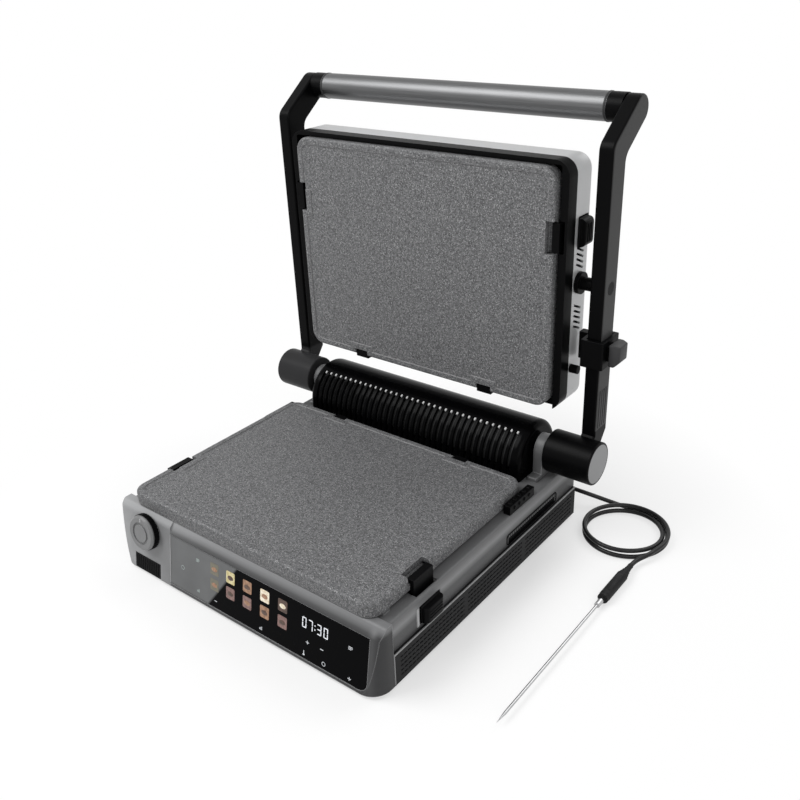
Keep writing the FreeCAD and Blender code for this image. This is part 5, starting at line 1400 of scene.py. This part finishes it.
    def rear_screws(self) -> None:
        """Cross-head screws near the corners of the rear wall."""
        name, wall, (x, z) = "rear_screws", self.rear_wall, self.screw
        start = (x, wall - 0.4, z)
        head = Bench.drum(name, self.screw_radius, start, self.screw_height, Axis.Y, 24)
        pieces = [Bench.bevel(head, rim(Axis.Y, wall + 0.9), 0.6, 3)]
        for wide, tall in self.cross:
            near, far = (x - wide, wall + 0.6, z - tall), (x + wide, wall + 1.12, z + tall)
            pieces.append(Bench.bevel(Bench.block("screw_cross", near, far), along(Axis.Y), 0.25))
        first = Bench.join(name, pieces)
        right, up = self.screw_apart
        shifts = ((right, 0.0, 0.0), (0.0, 0.0, up), (right, 0.0, up))
        copies = [Bench.copy(first, "rear_screw", shift) for shift in shifts]
        self.done(Bench.join(name, [first, *copies]), "black_satin", "black_plastic")

    def build(self) -> None:
        """Make the bumps, the vents, the panels' details and the screws."""
        self.guard_bumps()
        self.side_vent()
        self.side_panel()
        self.rear_vent()
        self.rear_screws()


@dataclass
class ExtractorDress(Dress):
    """A bright painted glint at the upper end of every intake slot, standing for light caught at
    the slots' tops.
    """

    slots: int = 36
    pitch: float = 7.0
    centre: Span = (109.0, 78.0)
    radius: float = 34.9
    tilt: float = 30.1
    # Size of each painted glint, a small bright block.
    glint_bead: tuple[Triple, Triple] = ((-1.1, -1.6, -1.2), (1.1, 1.6, 0.9))

    def build(self) -> None:
        """Make the row of painted glints."""
        glint_bead = Bench.block("slot_glints", *self.glint_bead)
        Bench.bevel(glint_bead, lambda place, way: place.z > 0.5 or abs(way.z) > STRAIGHT, 0.7, 3)
        Bench.take(glint_bead)
        turn = math.radians(self.tilt)
        glint_bead.rotation_euler = (turn, 0.0, 0.0)
        reach = Vector((0.0, -math.sin(turn), math.cos(turn))) * self.radius
        left = -self.pitch * (self.slots - 1) / 2
        glint_bead.location = (Vector((left, *self.centre)) + reach) * MM
        glint_bead = Bench.settle("slot_glints")
        glint_beads = Bench.row("slot_glints", glint_bead, (self.pitch, 0.0, 0.0), self.slots)
        self.done(glint_beads, "glint_white", "satin_steel")


@dataclass
class ArmDress(Dress):
    """Ribs on the outer faces of the arms, and the grey paddle of the height lock."""

    face: float = 188.0
    middle: float = 131.0
    rib_z: Span = (118.0, 156.0)
    rib_half: float = 1.3
    rib_offsets: tuple[float, ...] = (-6.0, -2.0, 2.0, 6.0)
    paddle_block: tuple[Triple, Triple] = ((194.5, 121.5, 183.5), (199.6, 140.5, 204.5))
    paddle_rise: Triple = (5.0, 0.0, 2.0)
    paddle_taper: Triple = (1.0, 0.8, 0.7)

    def ribs(self) -> None:
        """Upright ribs below the height lock, on both arms."""
        pieces = []
        low, high = self.rib_z
        for y in (self.middle + offset for offset in self.rib_offsets):
            near = (self.face - 0.4, y - self.rib_half, low)
            rib = Bench.block("arm_rib", near, (self.face + 0.5, y + self.rib_half, high))
            pieces.append(Bench.bevel(rib, past(Axis.X, self.face), 0.4))
        self.pair(Bench.join("arm_ribs_right", pieces), "arm_grey", "black_cast", "arms")

    def paddle(self) -> None:
        """Thumb paddle that the height lock is pushed by."""
        paddle = Bench.block("lock_paddle", *self.paddle_block)
        Bench.pick(paddle, Pick.FACES, facing(Axis.X.vector))
        rise = Vector(self.paddle_rise) * MM
        bpy.ops.mesh.extrude_region_move(TRANSFORM_OT_translate={"value": rise})
        bpy.ops.transform.resize(value=self.paddle_taper)
        Bench.clear()
        Bench.bevel(paddle, lambda place, way: True, 1.0, 3)
        self.done(paddle, "arm_grey", "black_plastic", "lid_height_lock")

    def build(self) -> None:
        """Make the ribs and the paddle."""
        self.ribs()
        self.paddle()


@dataclass
class LidDress(Dress):
    """Raised panel on the lid's outside and the rings that end the grip's tube."""

    panel_x: float = 138.0
    panel_z: Span = (152.0, 346.0)
    back: float = 150.0
    groove: tuple[Span, ...] = ((1.0, 0.0), (1.6, -0.7), (1.6, 0.7))
    ring: Triple = (157.6, 167.7, 397.7)
    ring_radius: float = 12.85

    def build(self) -> None:
        """Make the panel and the rings."""
        x, (low, high) = self.panel_x, self.panel_z
        panel = Bench.block("lid_top_panel", (-x, self.back - 0.5, low), (x, self.back + 1.2, high))
        Bench.bevel(panel, along(Axis.Y), 12.0, 6)
        Bench.stepped(panel, Axis.Y.vector, self.groove)
        self.done(panel, "silver_shell", "silver_shell", "lid")
        ring = Bench.drum("grip_ring_right", self.ring_radius, self.ring, 2.0, Axis.X, 64)
        Bench.bevel(ring, rim(Axis.X, 0.0), 0.3)
        self.pair(ring, "arm_grey", "satin_steel", "arms")


@dataclass
class ProbeHandle(Dress):
    """Handle of the meat probe, with a tapered nose, a grip facet and a cord sleeve."""

    middle: Span = (245.5, 5.2)
    front: float = 32.0
    radius: float = 5.2
    length: float = 35.0
    nose: tuple[Span, ...] = ((0.25, 0.7), (0.0, 3.4), (0.7, 1.0), (1.0, 1.9))
    sleeve: tuple[Span, ...] = (
        (0.3, 0.6), (0.5, 3.0), (0.7, 1.0), (0.0, 2.6),
        (0.4, 0.0), (0.0, 1.2), (0.35, 3.2), (0.35, 6.4),
    )
    body_from: float = 7.0
    facet_half: float = 2.6
    facet_y: Span = (11.0, 38.0)
    facet_z: Span = (9.6, 10.7)

    def build(self) -> Piece:
        """Make the handle.

        Returns:
            The handle, which stands for the CAD handle.
        """
        x, z = self.middle
        start = (x, self.front + self.body_from, z)
        body = Bench.drum("probe_grip", self.radius, start, self.length, Axis.Y, 40)
        Bench.stepped(body, -Axis.Y.vector, self.nose)
        Bench.stepped(body, Axis.Y.vector, self.sleeve)
        half, (near_y, far_y), (low, high) = self.facet_half, self.facet_y, self.facet_z
        near, far = (x - half, self.front + near_y, low), (x + half, self.front + far_y, high)
        facet = Bench.bevel(Bench.block("grip_facet", near, far), along(Axis.Z), 1.7, 4)
        Bench.bevel(facet, past(Axis.Z, high - 0.05), 0.35)
        handle = Bench.join("probe_grip", [body, facet])
        return self.done(handle, "rubber", "rubber_black", replaces=("probe_handle",), angle=28.0)


@dataclass
class Probe(Dress):
    """The meat probe's lead, coiled on the worktop and run to its handle."""

    diameter: float = 4.4
    relief_end: Triple = (144.5, 165.0, 15.0)
    first_bend: Triple = (162.5, 165.0, 15.0)
    coil_centre: Span = (216.0, 141.0)
    coil_radius: float = 42.0
    coil_pitch: float = 5.2
    coil_lift: float = 5.1
    entry: float = 104.0
    leave: float = 24.0
    turns: int = 2
    per_turn: int = 16
    lead_in: float = 18.0
    lead_out: float = 9.0
    handle_rear: Triple = (245.5, 92.0, 5.2)
    length: float = 0.677

    @property
    def sweep(self) -> float:
        """Degrees that the coil turns through."""
        return 360.0 * self.turns + self.entry + self.leave

    def coil_point(self, turn: float) -> Vector:
        """A control point of the coil.

        Args:
            turn: degrees from the entry, clockwise.

        Returns:
            The point, set out so that the curve through its like keeps the coil's radius.
        """
        half = self.sweep / 2
        radius = self.coil_radius - self.coil_pitch * (half - abs(turn - half)) / 360
        radius /= math.cos(math.pi / self.per_turn)
        climb = min(max((turn - half + 90) / 180, 0.0), 1.0)
        angle = math.radians(self.entry - turn)
        x, y = self.coil_centre
        z = self.diameter / 2 + self.coil_lift * climb
        return Vector((x + radius * math.cos(angle), y + radius * math.sin(angle), z))

    def route(self) -> list[Vector]:
        """The control points of the lead, from the plug to the handle.

        Returns:
            The points.
        """
        count = round(self.sweep / 360 * self.per_turn)
        coil = [self.coil_point(self.sweep * index / count) for index in range(count + 1)]
        into, out = (coil[1] - coil[0]).normalized(), (coil[-1] - coil[-2]).normalized()
        before, after = coil[0] - into * self.lead_in, coil[-1] + out * self.lead_out
        start, bend, end = map(Vector, (self.relief_end, self.first_bend, self.handle_rear))
        tail = end + Axis.Y.vector * self.lead_out
        return [start, bend, before, *coil, after, tail, end]

    def build(self, nodes: dict[str, Piece], handle: Piece) -> None:
        """Lay the cord.

        Args:
            nodes: the frame's nodes by name; not used.
            handle: the handle at its far end; not used.
        """
        curve = bpy.data.curves.new("probe_cord", "CURVE")
        curve.dimensions = "3D"
        curve.bevel_depth = self.diameter / 2 * MM
        curve.bevel_resolution = 5
        curve.use_fill_caps = True
        spline = curve.splines.new("NURBS")
        points = self.route()
        spline.points.add(len(points) - 1)
        for knot, point in zip(spline.points, points):
            knot.co = (*(point * MM), 1.0)
        spline.order_u = 3
        spline.use_endpoint_u = True
        spline.resolution_u = 8
        cord = bpy.data.objects.new("probe_cord", curve)
        bpy.context.scene.collection.objects.link(cord)
        curve.materials.append(self.palette["cord_skin"])
        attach(cord, "base")
        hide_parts("probe_lead", "probe_coil", "probe_tail")
        LOG.info("probe_cord laid over %d points", len(points))


@dataclass
class Studio:
    """Pale floor, soft lamps, white surroundings and the camera."""

    eye: Triple = (0.50086, -0.55086, 0.52491)
    aim: Triple = (62.923, 2.2269, 37.9195)
    lens: float = 40.05
    sensor: float = 36.0
    lamps: tuple[tuple[str, Triple, float, float], ...] = (
        ("key_lamp", (-0.95, -0.95, 1.75), 1.2, 34.0),
        ("fill_lamp", (1.35, -0.85, 0.9), 1.4, 9.0),
        ("rear_lamp", (0.45, 1.25, 1.6), 1.2, 11.0),
    )
    lamps_aim: Triple = (0.0, 0.0, 0.15)
    ambient: float = 0.36
    floor_size: float = 30.0
    floor_level: float = -0.0003
    floor_colour: tuple[float, ...] = (0.9, 0.9, 0.9, 1.0)
    floor_scale: Triple = (0.8, 0.8, 0.8)
    floor_fade: tuple[float, ...] = (0.86, 0.66, 0.45, 1.0)

    def camera(self) -> None:
        """Put the camera where the photograph was taken from."""
        data = bpy.data.cameras.new("view_camera")
        data.sensor_width = self.sensor
        data.lens = self.lens
        data.clip_start = 0.01
        camera = bpy.data.objects.new("view_camera", data)
        camera.location = self.eye
        camera.rotation_euler = tuple(math.radians(angle) for angle in self.aim)
        bpy.context.scene.collection.objects.link(camera)
        bpy.context.scene.camera = camera

    def light(self) -> None:
        """Hang the lamps, and mix the light of the surroundings with the white that is seen."""
        for name, place, side, power in self.lamps:
            data = bpy.data.lights.new(name, "AREA")
            data.shape = "SQUARE"
            data.size = side
            data.energy = power
            lamp = bpy.data.objects.new(name, data)
            lamp.location = place
            ahead = Vector(self.lamps_aim) - Vector(place)
            lamp.rotation_euler = ahead.to_track_quat("-Z", "Y").to_euler()
            bpy.context.scene.collection.objects.link(lamp)
        world = bpy.data.worlds.new("surroundings")
        bpy.context.scene.world = world
        tree = Tree(world)
        light, white = (
            tree.add("ShaderNodeBackground", {"Color": WHITE, "Strength": strength}).outputs[0]
            for strength in (self.ambient, 1.0)
        )
        mix = tree.add("ShaderNodeMixShader", {0: tree.seen(), 1: light, 2: white})
        tree.add("ShaderNodeOutputWorld", {"Surface": mix.outputs[0]})

    def floor(self) -> None:
        """Lay a pale floor that goes over into white away from the grill."""
        Bench.clear()
        middle = (0.0, 0.0, self.floor_level)
        bpy.ops.mesh.primitive_plane_add(size=self.floor_size, location=middle)
        floor = Bench.settle("studio_floor")
        tree = Surface("studio_floor")
        tree.feed(Base_Color=self.floor_colour, Roughness=0.85, Specular_IOR_Level=0.1)
        scaled = tree.mapped(scale=self.floor_scale)
        ring = tree.add("ShaderNodeTexGradient", {"Vector": scaled}, gradient_type="SPHERICAL")
        away = tree.spread(ring.outputs["Fac"], *self.floor_fade)
        shown = tree.maths("MULTIPLY", away, tree.seen())
        white = tree.add("ShaderNodeEmission", {"Strength": 1.0}).outputs[0]
        mix = tree.add("ShaderNodeMixShader", {0: shown, 1: tree.shader.outputs["BSDF"], 2: white})
        tree.fill(tree.output, {"Surface": mix.outputs[0]})
        floor.data.materials.append(tree.material)

    def build(self) -> None:
        """Set the camera, the lamps and the floor."""
        self.camera()
        self.light()
        self.floor()
        bpy.context.scene.view_settings.view_transform = "Standard"


def main() -> None:
    """Load the frame, dress it and set the studio."""
    logging.basicConfig(level=logging.INFO, format="%(name)s %(message)s")
    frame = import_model()
    nodes = frame["nodes"]
    Bench.clear()
    palette = Palette()
    Studio().build()
    handle = ProbeHandle(palette).build()
    Probe(palette).build(nodes, handle)
    groups = (ControlPanel, KnobDress, LatchDress, BaseDress, ExtractorDress, ArmDress, LidDress)
    for group in groups:
        group(palette).build()
    palette.dress(nodes)


if __name__ == "__main__":
    main()
